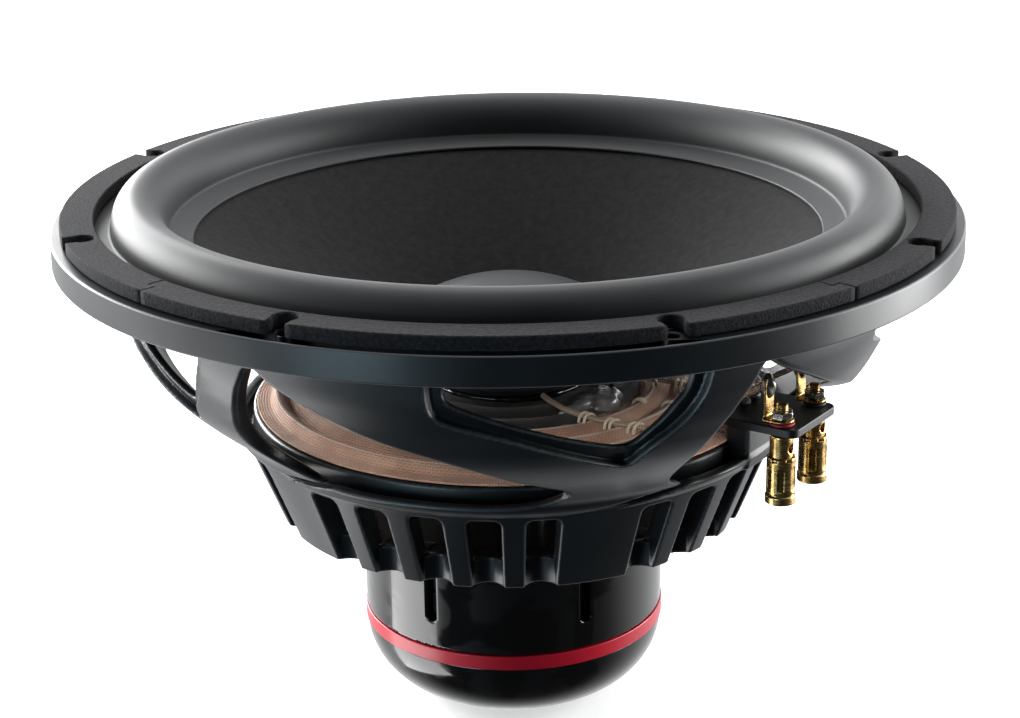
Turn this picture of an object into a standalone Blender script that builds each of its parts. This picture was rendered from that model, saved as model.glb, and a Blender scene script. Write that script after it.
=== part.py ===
"""Twelve-inch car subwoofer driver, as an assembly of its separate pieces.

Frame: metres, +Z up along the driver's axis, towards the listener. The origin is on the axis, at the
flat underside of the motor. Profiles are (radius, height) in millimetres, with heights counted from
the front face of the basket's flange. Azimuths are degrees about the axis, from -Y towards +X.
"""

import math

import bmesh
import bpy

# Driving dimensions, in millimetres
MM = 0.001
GAP = 0.3  # clearance between pieces that touch
FLANGE_TOP = 182.4  # height of the flange's front face above the motor's underside
FLANGE_R = 160.0
FLANGE_THICKNESS = 10.0
LANDING_R = 147.0  # outer edge of the recess that holds the surround
LANDING_DEPTH = 1.8
SCREW_CIRCLE_R = 151.0
SCREW_HOLE_R = 2.75
SCREW_COUNT = 8
SCREW_FIRST_AZIMUTH = 18.5
GASKET_OUTER_R = 156.5
GASKET_INNER_R = 144.6
GASKET_HEIGHT = 5.0
GASKET_SEGMENTS = 4
GASKET_FIRST_JOINT = -48.5
SPOKE_COUNT = 5
SPOKE_AZIMUTH = 18.3  # centre of the first V-shaped spoke
FINGER_OFFSETS = (12.1, 24.1, 36.0, 47.9, 59.9)  # slot centres after a block's centre
SLOT_HALF_WIDTH = 3.5  # degrees
SLOT_TOP = -79.8
SKIRT_BOTTOM = -109.0
PLATE_TOP = -99.5
PLATE_BOTTOM = -104.0
SPIDER_LANDING = -69.3
LIP_TOP = -73.0
ROLL_OUTER_R = 139.2
ROLL_INNER_R = 119.5
ROLL_CREST = 13.4  # rise of the roll above the line between its feet
COIL_INNER_R = 25.5
CAP_R = 48.0
CAP_HEIGHT = 18.5
MOTOR_R = 55.0
MOTOR_SLOT_AZIMUTH = -32.4
MOTOR_SLOT_END = -139.3
BAND_TOP = -149.4
BAND_BOTTOM = -154.6
FLAT_R = 23.0
TERMINAL_AZIMUTH = 55.5
BOARD_TOP = -55.0
BOARD_THICKNESS = 3.0
BOARD_WIDTH = 31.0
BOARD_INNER_R = 94.5
BOARD_OUTER_R = 124.0
POST_R = 117.0  # distance of the posts from the axis, along the board's middle line
POST_SPREAD = 11.5  # half the distance between the posts
BARREL_R = 4.0
SLEEVE_TOP = -66.0
SLEEVE_BOTTOM = -82.5
BOARD_SCREW_R = 96.6
BOARD_SCREW_PLACES = (-1.0, 6.0)  # places of the board's screws across its width
TAB_INNER_R = 91.8  # the basket's tab under the board, in the board's own directions
TAB_OUTER_R = 100.6
TAB_FIRST = -4.3
TAB_LAST = 15.8
MOTOR_SCREWS = 4
MOTOR_SCREW_R = 44.0
MOTOR_SCREW_FIRST_AZIMUTH = 9.3
MOTOR_SCREW_HOLE_R = 2.4
MOTOR_COVER_BORE_R = 52.6
MAGNET_R = 50.0
MAGNET_BORE_R = 33.0
MAGNET_THICKNESS = 15.0
PLATE_THICKNESS = 10.0
TOP_PLATE_BORE_R = 28.3
TOP_PLATE_R = 52.0
YOKE_BACK_THICKNESS = 12.0
VENT_R = 6.0
POLE_R = 24.6
POLE_NECK_R = 23.2
COVER_SLOTS = 6
COVER_SLOT_HALF_WIDTH = 2.1
CAP_WALL = 3.0
BOARD_SCREW_HOLE_R = 1.6
POST_HOLE_R = 2.3
LEAD_RADIUS = 1.0
STEPS = 40
FEW_STEPS = 24  # for small and hidden round pieces

FINISHES = {  # colour, roughness, metallic
    "cast_black": ((0.018, 0.021, 0.024), 0.38, 0.0),
    "foam": ((0.03, 0.03, 0.032), 0.95, 0.0),
    "rubber": ((0.03, 0.032, 0.035), 0.55, 0.0),
    "paper": ((0.022, 0.022, 0.024), 0.9, 0.0),
    "satin_dome": ((0.03, 0.031, 0.034), 0.5, 0.0),
    "spider_cloth": ((0.28, 0.17, 0.12), 0.9, 0.0),
    "braid": ((0.62, 0.6, 0.56), 0.4, 1.0),
    "fibre": ((0.25, 0.16, 0.08), 0.7, 0.0),
    "copper": ((0.72, 0.36, 0.2), 0.35, 1.0),
    "steel": ((0.35, 0.35, 0.36), 0.4, 1.0),
    "ferrite": ((0.03, 0.03, 0.03), 0.7, 0.0),
    "gloss_black": ((0.01, 0.01, 0.011), 0.12, 0.0),
    "red": ((0.55, 0.012, 0.035), 0.35, 0.0),
    "gold": ((0.8, 0.56, 0.22), 0.25, 1.0),
    "board": ((0.015, 0.015, 0.016), 0.5, 0.0),
    "zinc": ((0.7, 0.7, 0.68), 0.3, 1.0),
}


def clear_scene():
    for item in list(bpy.data.objects):
        bpy.data.objects.remove(item, do_unlink=True)


def material(slot):
    """One Principled material for each finish, made once."""
    found = bpy.data.materials.get(slot)
    if found:
        return found
    colour, roughness, metallic = FINISHES[slot]
    made = bpy.data.materials.new(slot)
    made.use_nodes = True
    shader = made.node_tree.nodes["Principled BSDF"]
    shader.inputs["Base Color"].default_value = (*colour, 1.0)
    shader.inputs["Roughness"].default_value = roughness
    shader.inputs["Metallic"].default_value = metallic
    return made


def polar(r, azimuth, z):
    """Row-frame point, in metres, of a radius, an azimuth and a height from the flange's face."""
    turn = math.radians(azimuth)
    return (r * math.sin(turn) * MM, -r * math.cos(turn) * MM, (FLANGE_TOP + z) * MM)


def add_object(name, bm, slot=None, smooth=True):
    """Turns a bmesh into a named object, with its finish."""
    mesh = bpy.data.meshes.new(name)
    bm.to_mesh(mesh)
    bm.free()
    item = bpy.data.objects.new(name, mesh)
    bpy.context.collection.objects.link(item)
    if slot:
        mesh.materials.append(material(slot))
    if smooth:
        mesh.shade_smooth()
    return item


def lathe(name, profile, slot, steps=STEPS):
    """Turns a profile about the axis. It runs over the top outwards, down the outer side and back."""
    bm = bmesh.new()
    verts = [bm.verts.new((r * MM, 0.0, (FLANGE_TOP + z) * MM)) for r, z in profile]
    on_axis = profile[0][0] == 0 and profile[-1][0] == 0
    for start, end in zip(verts, verts[1:] if on_axis else verts[1:] + verts[:1]):
        bm.edges.new((start, end))
    item = add_object(name, bm, slot, smooth=False)
    screw = item.modifiers.new("turn", "SCREW")
    screw.steps = steps
    screw.render_steps = steps
    screw.use_merge_vertices = True
    screw.merge_threshold = 0.00001
    screw.use_smooth_shade = True
    return item


def tube_profile(inner, outer, top, bottom):
    return [(inner, top), (outer, top), (outer, bottom), (inner, bottom)]


def prism(bm, lower, upper):
    """Closed body between two matching outlines. Seen from the upper one, they run anticlockwise."""
    low = [bm.verts.new(p) for p in lower]
    high = [bm.verts.new(p) for p in upper]
    bm.faces.new(low[::-1])
    bm.faces.new(high)
    for i in range(len(low)):
        j = (i + 1) % len(low)
        bm.faces.new((low[i], low[j], high[j], high[i]))


def round_prism(bm, x, y, radius, bottom, top):
    """Upright twelve-sided cylinder about a point given in metres."""
    circle = arc(x, y, radius * MM, 0, 330, 11)
    low = [(cx, cy, (FLANGE_TOP + bottom) * MM) for cx, cy in circle]
    high = [(cx, cy, (FLANGE_TOP + top) * MM) for cx, cy in circle]
    prism(bm, low, high)


def radial_prism(bm, outline, inner_r, outer_r):
    """Cutter through the wall: an outline of (azimuth, height), carried from one radius to another.

    It is made flat, as (azimuth, height, radius), sliced into upright strips so that its ends follow
    the wall's curve, and then bent round the axis.
    """
    flat = bmesh.new()
    prism(flat, [(a, z, inner_r) for a, z in outline], [(a, z, outer_r) for a, z in outline])
    first = min(a for a, _ in outline)
    last = max(a for a, _ in outline)
    strips = math.ceil((last - first) / 9.5)
    for i in range(1, strips):
        geometry = flat.verts[:] + flat.edges[:] + flat.faces[:]
        place = (first + (last - first) * i / strips, 0, 0)
        bmesh.ops.bisect_plane(flat, geom=geometry, dist=0.0001, plane_co=place, plane_no=(1, 0, 0))
    bmesh.ops.triangulate(flat, faces=flat.faces[:])
    copies = {v.index: bm.verts.new(polar(v.co.z, v.co.x, v.co.y)) for v in indexed(flat)}
    for face in flat.faces:
        bm.faces.new([copies[v.index] for v in face.verts])
    flat.free()


def indexed(bm):
    """The bmesh's vertices, with their indices brought up to date."""
    bm.verts.index_update()
    return bm.verts


def cut(item, cutters, operation="DIFFERENCE"):
    """Boolean with a hidden cutter object."""
    cutters.hide_render = True
    cutters.display_type = "WIRE"
    boolean = item.modifiers.new("cut", "BOOLEAN")
    boolean.operation = operation
    boolean.solver = "EXACT"
    boolean.object = cutters
    weld = item.modifiers.new("tidy", "WELD")
    weld.merge_threshold = 0.00005


def arc(cx, cy, radius, start, end, count):
    """Points of an arc in a plane, angles in degrees, both ends included."""
    points = []
    for i in range(count + 1):
        turn = math.radians(start + (end - start) * i / count)
        points.append((cx + radius * math.cos(turn), cy + radius * math.sin(turn)))
    return points


def board_point(along, across, z):
    """Point of the terminal group: along is the distance from the axis, across is to its left."""
    turn = math.radians(TERMINAL_AZIMUTH)
    x = along * math.sin(turn) + across * math.cos(turn)
    y = -along * math.cos(turn) + across * math.sin(turn)
    return (x * MM, y * MM, (FLANGE_TOP + z) * MM)


def board_prism(bm, outline, bottom, top):
    """Prism of an (along, across) outline, anticlockwise seen from above, between two heights."""
    prism(bm, [board_point(a, c, bottom) for a, c in outline], [board_point(a, c, top) for a, c in outline])


def stack(bm, place, sections, steps=16):
    """Closed turned body: rings of (radius, height), carried up the outside from a flat lowest end."""
    rings = [[bm.verts.new(place(r, 360.0 * k / steps, z)) for k in range(steps)] for r, z in sections]
    bm.faces.new(rings[0][::-1])
    bm.faces.new(rings[-1])
    for low, high in zip(rings, rings[1:]):
        for k in range(steps):
            j = (k + 1) % steps
            bm.faces.new((low[k], low[j], high[j], high[k]))


def hollow(bm, place, inner, outer, bottom, top, steps=12):
    """Closed ring with a square section."""
    loop = [(outer, bottom), (outer, top), (inner, top), (inner, bottom)]
    rings = [[bm.verts.new(place(r, 360.0 * k / steps, z)) for k in range(steps)] for r, z in loop]
    for low, high in zip(rings, rings[1:] + rings[:1]):
        for k in range(steps):
            j = (k + 1) % steps
            bm.faces.new((low[k], low[j], high[j], high[k]))


def around(along, across):
    """Place function for a turned body on the terminal board, about its own upright axis."""
    def place(r, turn, z):
        angle = math.radians(turn)
        return board_point(along + r * math.cos(angle), across + r * math.sin(angle), z)
    return place


# ---------------------------------------------------------------- basket

def spoke_window():
    """Window inside a V-shaped spoke: leaning triangle, from its top left corner down and round."""
    return [
        (-26.5, -19.0), (-25.0, -25.5), (-17.0, -34.0), (-8.7, -40.4), (-3.5, -43.2), (-0.9, -42.4),
        (4.6, -28.0), (6.3, -14.0), (-8.0, -13.0), (-23.0, -14.6),
    ]


def wide_window():
    """Window between two spokes: from its upper left corner down, along the lip, and back up the arm."""
    lip = [(-58.5 + 16.0 * i, LIP_TOP + 0.1) for i in range(4)]
    return [
        (-54.4, -17.5), (-57.6, -28.0), (-60.6, -42.3), (-63.0, -54.0), (-63.0, -66.0), (-61.8, -71.0), *lip,
        (-9.0, -70.5), (-8.6, -65.8), (-17.3, -57.3), (-25.7, -47.9), (-33.7, -42.0), (-41.5, -34.7),
        (-49.0, -26.0), (-52.0, -17.5),
    ]


def skirt_slot(centre):
    """Slot between two fingers, open below, with a round top."""
    low = SKIRT_BOTTOM - 4.0
    half = SLOT_HALF_WIDTH
    top = [(centre + a, z) for a, z in ((half, -82.8), (half * 0.5, SLOT_TOP), (-half * 0.5, SLOT_TOP),
                                        (-half, -82.8))]
    return [(centre - half, low), (centre + half, low), *top]


def basket_profile():
    """Section of the shell: flange, bowl-shaped wall, lip, skirt, base plate and spider landing."""
    outer = [
        (LANDING_R, 0.0), (FLANGE_R, 0.0), (FLANGE_R, -FLANGE_THICKNESS), (139.5, -FLANGE_THICKNESS),
        (138.2, -26.0), (131.5, -43.0), (121.0, -55.5), (101.5, -71.0), (97.0, -78.3),
        (84.8, SKIRT_BOTTOM), (77.0, SKIRT_BOTTOM), (77.6, PLATE_BOTTOM), (34.0, PLATE_BOTTOM),
        (34.0, PLATE_TOP), (80.0, PLATE_TOP), (86.6, -81.0), (86.6, SPIDER_LANDING),
        (93.2, SPIDER_LANDING), (93.2, -76.8), (96.2, -76.8), (97.0, -70.5),
    ]
    inner = [
        (112.5, -57.5), (125.5, -42.0), (132.5, -22.0), (134.5, -LANDING_DEPTH), (LANDING_R, -LANDING_DEPTH),
    ]
    return outer + inner


def tab_block(name, slack):
    """Block that becomes the tab under the terminal board, smaller all round by some slack."""
    bm = bmesh.new()
    outline = [(TAB_INNER_R + slack, TAB_LAST - slack), (TAB_INNER_R + slack, TAB_FIRST + slack),
               (TAB_OUTER_R - slack, TAB_FIRST + slack), (TAB_OUTER_R - slack, TAB_LAST - slack)]
    board_prism(bm, outline, LIP_TOP - 4.5, BOARD_TOP - BOARD_THICKNESS - GAP - slack)
    return add_object(name, bm, smooth=False)


def make_basket():
    """One casting: a turned shell, with the terminal tab added and the openings cut through."""
    basket = lathe("basket", basket_profile(), "cast_black")
    cut(basket, tab_block("tab_blank", 0.0), "UNION")
    spokes = [SPOKE_AZIMUTH + 360.0 / SPOKE_COUNT * k for k in range(SPOKE_COUNT)]
    bm = bmesh.new()
    radial_prism(bm, [(spokes[1] + a, z) for a, z in wide_window()], 94.8, 150.0)
    terminal_window = add_object("terminal_window", bm, smooth=False)
    cut(terminal_window, tab_block("tab_kept", 0.3))
    cut(basket, terminal_window)
    bm = bmesh.new()
    for centre in spokes:
        windows = [spoke_window()] if centre == spokes[1] else [spoke_window(), wide_window()]
        for window in windows:
            radial_prism(bm, [(centre + a, z) for a, z in window], 94.8, 150.0)
        for offset in FINGER_OFFSETS:
            radial_prism(bm, skirt_slot(centre + offset), 79.0, 110.0)
    for k in range(SCREW_COUNT):
        x, y, _ = polar(SCREW_CIRCLE_R, SCREW_FIRST_AZIMUTH + 360.0 / SCREW_COUNT * k, 0)
        round_prism(bm, x, y, SCREW_HOLE_R, -FLANGE_THICKNESS - 2.0, 2.0)
    for across in BOARD_SCREW_PLACES:
        board_prism(bm, arc(BOARD_SCREW_R, across, BOARD_SCREW_HOLE_R, 0, 324, 9), -66.5, BOARD_TOP)
    for x, y in motor_screw_places():
        round_prism(bm, x, y, MOTOR_SCREW_HOLE_R, PLATE_BOTTOM - 2.0, PLATE_TOP + 2.0)
    cut(basket, add_object("basket_openings", bm, smooth=False))


# ---------------------------------------------------------------- gasket

def notch_points(azimuth):
    """Slot open to the outer edge, with a round inner end that is wider than the slot."""
    neck = math.degrees(3.4 / GASKET_OUTER_R)
    points = [(GASKET_OUTER_R, azimuth - neck)]
    for x, y in arc(SCREW_CIRCLE_R - 0.6, 0.0, 4.1, -55, -305, 8):
        points.append((math.hypot(x, y), azimuth + math.degrees(math.atan2(y, x))))
    points.append((GASKET_OUTER_R, azimuth + neck))
    return points


def make_gasket_segment(index):
    """Foam segment: outer arc with its notches, stepped ends, and the inner arc back."""
    span = 360.0 / GASKET_SEGMENTS
    first = GASKET_FIRST_JOINT + span * index
    last = first + span
    slack = 0.06
    middle = 0.5 * (GASKET_INNER_R + GASKET_OUTER_R)
    spacing = 360.0 / SCREW_COUNT
    notch = SCREW_FIRST_AZIMUTH + spacing * math.ceil((first - SCREW_FIRST_AZIMUTH) / spacing)
    outline = [(GASKET_INNER_R, first + slack), (middle - 0.15, first + slack),
               (middle - 0.15, first + 1.4 + slack), (GASKET_OUTER_R, first + 1.4 + slack)]
    edges = [first + 1.4 + slack, notch, notch + spacing, last + 1.4 - slack]
    for k in range(3):
        start = edges[k] + (2.0 if k else 0.0)
        end = edges[k + 1] - (2.0 if k < 2 else 0.0)
        count = max(2, round((end - start) / 4.0))
        inside = [start + (end - start) * i / count for i in range(1, count)]
        outline += [(GASKET_OUTER_R, a) for a in inside]
        if k < 2:
            outline += notch_points(edges[k + 1])
    outline += [(GASKET_OUTER_R, last + 1.4 - slack), (middle + 0.15, last + 1.4 - slack),
                (middle + 0.15, last - slack), (GASKET_INNER_R, last - slack)]
    count = 22
    outline += [(GASKET_INNER_R, last - slack - (span - 2 * slack) * i / count) for i in range(1, count)]
    bm = bmesh.new()
    prism(bm, [polar(r, a, GAP) for r, a in outline], [polar(r, a, GASKET_HEIGHT) for r, a in outline])
    add_object(f"gasket_segment_{index + 1}", bm, "foam", smooth=False)


# ---------------------------------------------------------------- moving and soft pieces

def roll_curve(thin, count):
    """Half roll between its two feet, made thinner by an amount all round."""
    middle = 0.5 * (ROLL_OUTER_R + ROLL_INNER_R)
    half = 0.5 * (ROLL_OUTER_R - ROLL_INNER_R) - thin
    points = []
    for i in range(count + 1):
        turn = math.pi * (1 - i / count)
        r = middle + half * math.cos(turn)
        base = -2.9 + 2.7 * (r - ROLL_INNER_R) / (ROLL_OUTER_R - ROLL_INNER_R)
        points.append((r, base + (ROLL_CREST - thin) * math.sin(turn)))
    return points


def make_surround():
    top = [(111.4, -5.2), *roll_curve(0.0, 8), (LANDING_R - GAP, -0.1)]
    seat = GAP - LANDING_DEPTH
    below = [(LANDING_R - GAP, seat), (ROLL_OUTER_R - 1.3, seat)]
    below += roll_curve(1.3, 6)[::-1][1:-1]
    below += [(ROLL_INNER_R, -4.2), (111.4, -6.4)]
    lathe("surround", top + below, "rubber")


def make_cone():
    profile = [
        (26.6, -59.0), (111.2, -6.9), (119.2, -4.8), (119.2, -5.9), (111.2, -8.3), (60.0, -40.4),
        (28.6, -60.0), (28.0, -61.8), (26.6, -61.8),
    ]
    lathe("cone", profile, "paper")


def make_dust_cap():
    """Shell of a sphere whose rim stands on the cone."""
    sphere = (CAP_R ** 2 + CAP_HEIGHT ** 2) / (2 * CAP_HEIGHT)
    centre = -26.5 - sphere
    rim = math.asin(CAP_R / sphere)
    outside = [(sphere * math.sin(rim * i / 5), centre + sphere * math.cos(rim * i / 5)) for i in range(6)]
    inner = sphere - 1.2
    inside = [(inner * math.sin(rim * i / 5), centre + inner * math.cos(rim * i / 5)) for i in range(6)]
    outside[0] = (0, outside[0][1])
    inside[0] = (0, inside[0][1])
    lathe("dust_cap", outside + inside[::-1], "satin_dome", FEW_STEPS)


def spider_curve(offset, count):
    """Corrugations of the cloth: a cosine wave in radius, moved up by an offset."""
    points = []
    for i in range(count + 1):
        r = 32.0 + (85.5 - 32.0) * i / count
        wave = 2.2 * math.cos(2 * math.pi * (r - 32.0) / 10.7)
        points.append((r, -66.6 + wave + offset))
    return points


def make_spider():
    top = [(26.5, -62.5), (27.6, -62.5), (28.2, -65.0), *spider_curve(0.4, 6), (86.5, -68.2), (91.5, -68.2)]
    low = [(91.5, -69.0), (86.0, -69.0), *spider_curve(-0.4, 6)[::-1], (27.4, -66.0), (26.5, -66.0)]
    lathe("spider", top + low, "spider_cloth", FEW_STEPS)


def lead_route(side):
    """Lead from the former's side, out over the spider, and up to its solder tab."""
    stations = [  # radius, azimuth away from the terminal board's middle, height
        (29.5, 27.0, -61.2), (34.0, 25.5, -61.9), (44.0, 21.5, -62.6), (55.0, 17.5, -62.6),
        (66.0, 14.0, -62.6), (76.0, 11.0, -62.6), (84.0, 8.8, -62.0), (89.5, 7.6, -58.5),
        (93.5, 7.0, -54.6), (98.0, 6.5, -51.0), (103.0, 6.2, -47.4), (107.0, 6.0, -45.0),
        (110.0, 5.98, -43.0),
    ]
    return [polar(r, TERMINAL_AZIMUTH + side * a, z) for r, a, z in stations]


def smooth_route(points, per_span):
    """Catmull-Rom curve through the points."""
    ends = [points[0], *points, points[-1]]
    route = []
    for i in range(1, len(ends) - 2):
        a, b, c, d = ends[i - 1:i + 3]
        for k in range(per_span):
            t = k / per_span
            route.append(tuple(
                0.5 * (2 * q + (r - p) * t + (2 * p - 5 * q + 4 * r - s) * t ** 2
                       + (3 * q - p - 3 * r + s) * t ** 3)
                for p, q, r, s in zip(a, b, c, d)))
    route.append(points[-1])
    return route


def make_tube(name, points, radius, slot, resolution):
    curve = bpy.data.curves.new(name, "CURVE")
    curve.dimensions = "3D"
    curve.bevel_depth = radius * MM
    curve.bevel_resolution = resolution
    curve.use_fill_caps = True
    spline = curve.splines.new("POLY")
    spline.points.add(len(points) - 1)
    for point, place in zip(spline.points, points):
        point.co = (*place, 1.0)
    curve.materials.append(material(slot))
    item = bpy.data.objects.new(name, curve)
    bpy.context.collection.objects.link(item)


# ---------------------------------------------------------------- motor

def make_motor():
    top = PLATE_BOTTOM - GAP
    ring = tube_profile(TOP_PLATE_BORE_R, TOP_PLATE_R, top, top - PLATE_THICKNESS)
    plate = lathe("top_plate", ring, "steel", FEW_STEPS)
    bm = bmesh.new()
    for x, y in motor_screw_places():
        round_prism(bm, x, y, MOTOR_SCREW_HOLE_R, top - PLATE_THICKNESS - 2.0, top + 2.0)
    cut(plate, add_object("plate_holes", bm, smooth=False))
    upper = top - PLATE_THICKNESS - GAP
    lower = upper - MAGNET_THICKNESS - GAP
    for name, high in (("upper_magnet", upper), ("lower_magnet", lower)):
        ring = tube_profile(MAGNET_BORE_R, MAGNET_R, high, high - MAGNET_THICKNESS)
        lathe(name, ring, "ferrite", FEW_STEPS)
    back = lower - MAGNET_THICKNESS - GAP
    tip = top - PLATE_THICKNESS - 2.0
    base = back - YOKE_BACK_THICKNESS
    yoke = [(VENT_R, top + 5.0), (POLE_R - 2.0, top + 5.0), (POLE_R, top + 3.0), (POLE_R, tip),
            (POLE_NECK_R, tip), (POLE_NECK_R, back), (MAGNET_R, back), (MAGNET_R, base), (VENT_R, base)]
    lathe("t_yoke", yoke, "steel", FEW_STEPS)
    sleeve = tube_profile(POLE_NECK_R + GAP, POLE_R, tip - GAP, back + 2 * GAP)
    lathe("shorting_ring", sleeve, "copper", FEW_STEPS)
    wall = tube_profile(MOTOR_COVER_BORE_R, MOTOR_R, top, BAND_TOP + GAP)
    cover = lathe("motor_cover", wall, "gloss_black")
    bm = bmesh.new()
    for k in range(COVER_SLOTS):
        centre = MOTOR_SLOT_AZIMUTH + 360.0 / COVER_SLOTS * k
        half = math.degrees(COVER_SLOT_HALF_WIDTH / MOTOR_R)
        low = [(centre + half * math.cos(t), MOTOR_SLOT_END + COVER_SLOT_HALF_WIDTH * (1 + math.sin(t)))
               for t in (math.radians(-180 + 36 * i) for i in range(6))]
        radial_prism(bm, [*low, (centre + half, -112.0), (centre - half, -112.0)], 51.0, 58.0)
    cut(cover, add_object("cover_slots", bm, smooth=False))
    lathe("trim_ring", tube_profile(MOTOR_COVER_BORE_R, MOTOR_R + 0.4, BAND_TOP, BAND_BOTTOM), "red")
    rim = BAND_BOTTOM - GAP
    inside = bowl(MOTOR_R - 2.6, rim, CAP_WALL - FLANGE_TOP)
    outside = bowl(MOTOR_R - 0.1, rim, -FLANGE_TOP)
    lathe("motor_cap", [(0, CAP_WALL - FLANGE_TOP), *inside[::-1], *outside, (0, -FLANGE_TOP)], "gloss_black")


def bowl(reach, rim, base):
    """Quarter of an ellipse from a side wall down to a flat underside."""
    points = []
    for i in range(7):
        turn = math.radians(90 / 6 * i)
        z = base + (rim - base) * (1 - math.sin(turn))
        points.append((FLAT_R + (reach - FLAT_R) * math.cos(turn), z))
    return points


def motor_screw_places():
    places = []
    for index in range(MOTOR_SCREWS):
        x, y, _ = polar(MOTOR_SCREW_R, MOTOR_SCREW_FIRST_AZIMUTH + 360.0 / MOTOR_SCREWS * index, 0)
        places.append((x, y))
    return places


def make_motor_screws():
    """Cap screws through the basket's base plate into the top plate."""
    head = PLATE_TOP + GAP
    for index, (x, y) in enumerate(motor_screw_places()):
        def place(r, turn, z):
            angle = math.radians(turn)
            return (x + r * math.cos(angle) * MM, y + r * math.sin(angle) * MM, (FLANGE_TOP + z) * MM)
        bm = bmesh.new()
        stack(bm, place, [(2.0, -112.0), (2.0, head), (4.2, head), (4.2, head + 4.0)], 10)
        add_object(f"motor_screw_{index + 1}", bm, "zinc", smooth=False)


# ---------------------------------------------------------------- terminals

def rounded_board():
    """Plan of the board: a rectangle with round corners, anticlockwise from above."""
    half = 0.5 * BOARD_WIDTH
    corner = 3.5
    points = []
    for along, across, start in ((BOARD_OUTER_R - corner, half - corner, 0),
                                 (BOARD_INNER_R + corner, half - corner, 90),
                                 (BOARD_INNER_R + corner, corner - half, 180),
                                 (BOARD_OUTER_R - corner, corner - half, 270)):
        points += arc(along, across, corner, start, start + 90, 4)
    return points


def make_board():
    bottom = BOARD_TOP - BOARD_THICKNESS
    bm = bmesh.new()
    board_prism(bm, rounded_board(), bottom, BOARD_TOP)
    board = add_object("terminal_board", bm, "board", smooth=False)
    bm = bmesh.new()
    for side in (-1, 1):
        hole = arc(POST_R, side * POST_SPREAD, POST_HOLE_R, 0, 330, 11)
        board_prism(bm, hole, bottom - 2.0, BOARD_TOP + 2.0)
    for across in BOARD_SCREW_PLACES:
        hole = arc(BOARD_SCREW_R, across, BOARD_SCREW_HOLE_R, 0, 324, 9)
        board_prism(bm, hole, bottom - 2.0, BOARD_TOP + 2.0)
    cut(board, add_object("board_holes", bm, smooth=False))


def make_terminal(number, side):
    """One push terminal: barrel, sprung cap, washer, solder tab, nut, and the board screw beside it."""
    across = side * POST_SPREAD
    place = around(POST_R, across)
    board_bottom = BOARD_TOP - BOARD_THICKNESS
    shoulder = board_bottom - GAP
    barrel_bottom = -74.0
    floor = SLEEVE_BOTTOM + 1.5

    bm = bmesh.new()
    stack(bm, place, [(BARREL_R, barrel_bottom), (BARREL_R, shoulder), (2.0, shoulder), (2.0, -47.5)])
    barrel = add_object(f"terminal_barrel_{number}", bm, "gold", smooth=False)
    bm = bmesh.new()
    hole = arc(0.0, -62.8, 1.7, 0, 324, 9)
    prism(bm, [board_point(POST_R - 8.0, across + c, z) for c, z in hole],
          [board_point(POST_R + 8.0, across + c, z) for c, z in hole])
    cut(barrel, add_object(f"wire_hole_{number}", bm, smooth=False))

    bm = bmesh.new()
    inside = BARREL_R + 0.35
    stack(bm, place, [(5.2, SLEEVE_BOTTOM), (5.2, floor + 1.5), (4.9, floor + 1.5), (4.9, SLEEVE_TOP),
                      (inside, SLEEVE_TOP), (inside, floor)])
    add_object(f"push_cap_{number}", bm, "gold", smooth=False)

    turns = 4.5
    wire = 0.35
    low = floor + wire + GAP
    high = barrel_bottom - wire - GAP
    count = round(turns * 9)
    coil = [place(3.2, 360.0 * turns * i / count, low + (high - low) * i / count) for i in range(count + 1)]
    make_tube(f"terminal_spring_{number}", coil, wire, "zinc", 0)

    washer = BOARD_TOP + GAP
    bm = bmesh.new()
    hollow(bm, place, POST_HOLE_R, 4.2, washer, washer + 0.8)
    add_object(f"terminal_washer_{number}", bm, "red" if side < 0 else "board", smooth=False)

    tab = washer + 0.8 + GAP
    make_solder_tab(number, across, tab)

    nut = tab + 0.8 + GAP
    bm = bmesh.new()
    hollow(bm, place, POST_HOLE_R, 3.9, nut, nut + 2.6, 6)
    add_object(f"terminal_nut_{number}", bm, "zinc", smooth=False)

    screw = around(BOARD_SCREW_R, BOARD_SCREW_PLACES[number - 1])
    bm = bmesh.new()
    stack(bm, screw, [(1.3, -64.0), (1.3, washer), (2.6, washer), (2.6, washer + 1.6)], 12)
    add_object(f"terminal_screw_{number}", bm, "zinc", smooth=False)


def make_solder_tab(number, across, bottom):
    """L-shaped tab: a flat foot round the stud, and a leaf with a round end that stands on the axis side."""
    back = POST_R - 5.5
    leaf = 3.0
    foot = arc(POST_R, across, 4.0, -90, 90, 8)
    foot += [(back, across + leaf), (back, across - leaf)]
    bm = bmesh.new()
    board_prism(bm, foot, bottom, bottom + 0.8)
    tab = add_object(f"solder_tab_{number}", bm, "gold", smooth=False)
    bm = bmesh.new()
    outline = [(-leaf, bottom), (leaf, bottom), *arc(0.0, -41.5, leaf, 0, 180, 8)]
    prism(bm, [board_point(back, across + c, z) for c, z in outline],
          [board_point(back + 0.8, across + c, z) for c, z in outline])
    cut(tab, add_object(f"tab_leaf_{number}", bm, smooth=False), "UNION")
    bm = bmesh.new()
    board_prism(bm, arc(POST_R, across, POST_HOLE_R, 0, 330, 11), bottom - 1.0, bottom + 2.0)
    cut(tab, add_object(f"tab_hole_{number}", bm, smooth=False))


# ---------------------------------------------------------------- assembly

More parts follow.
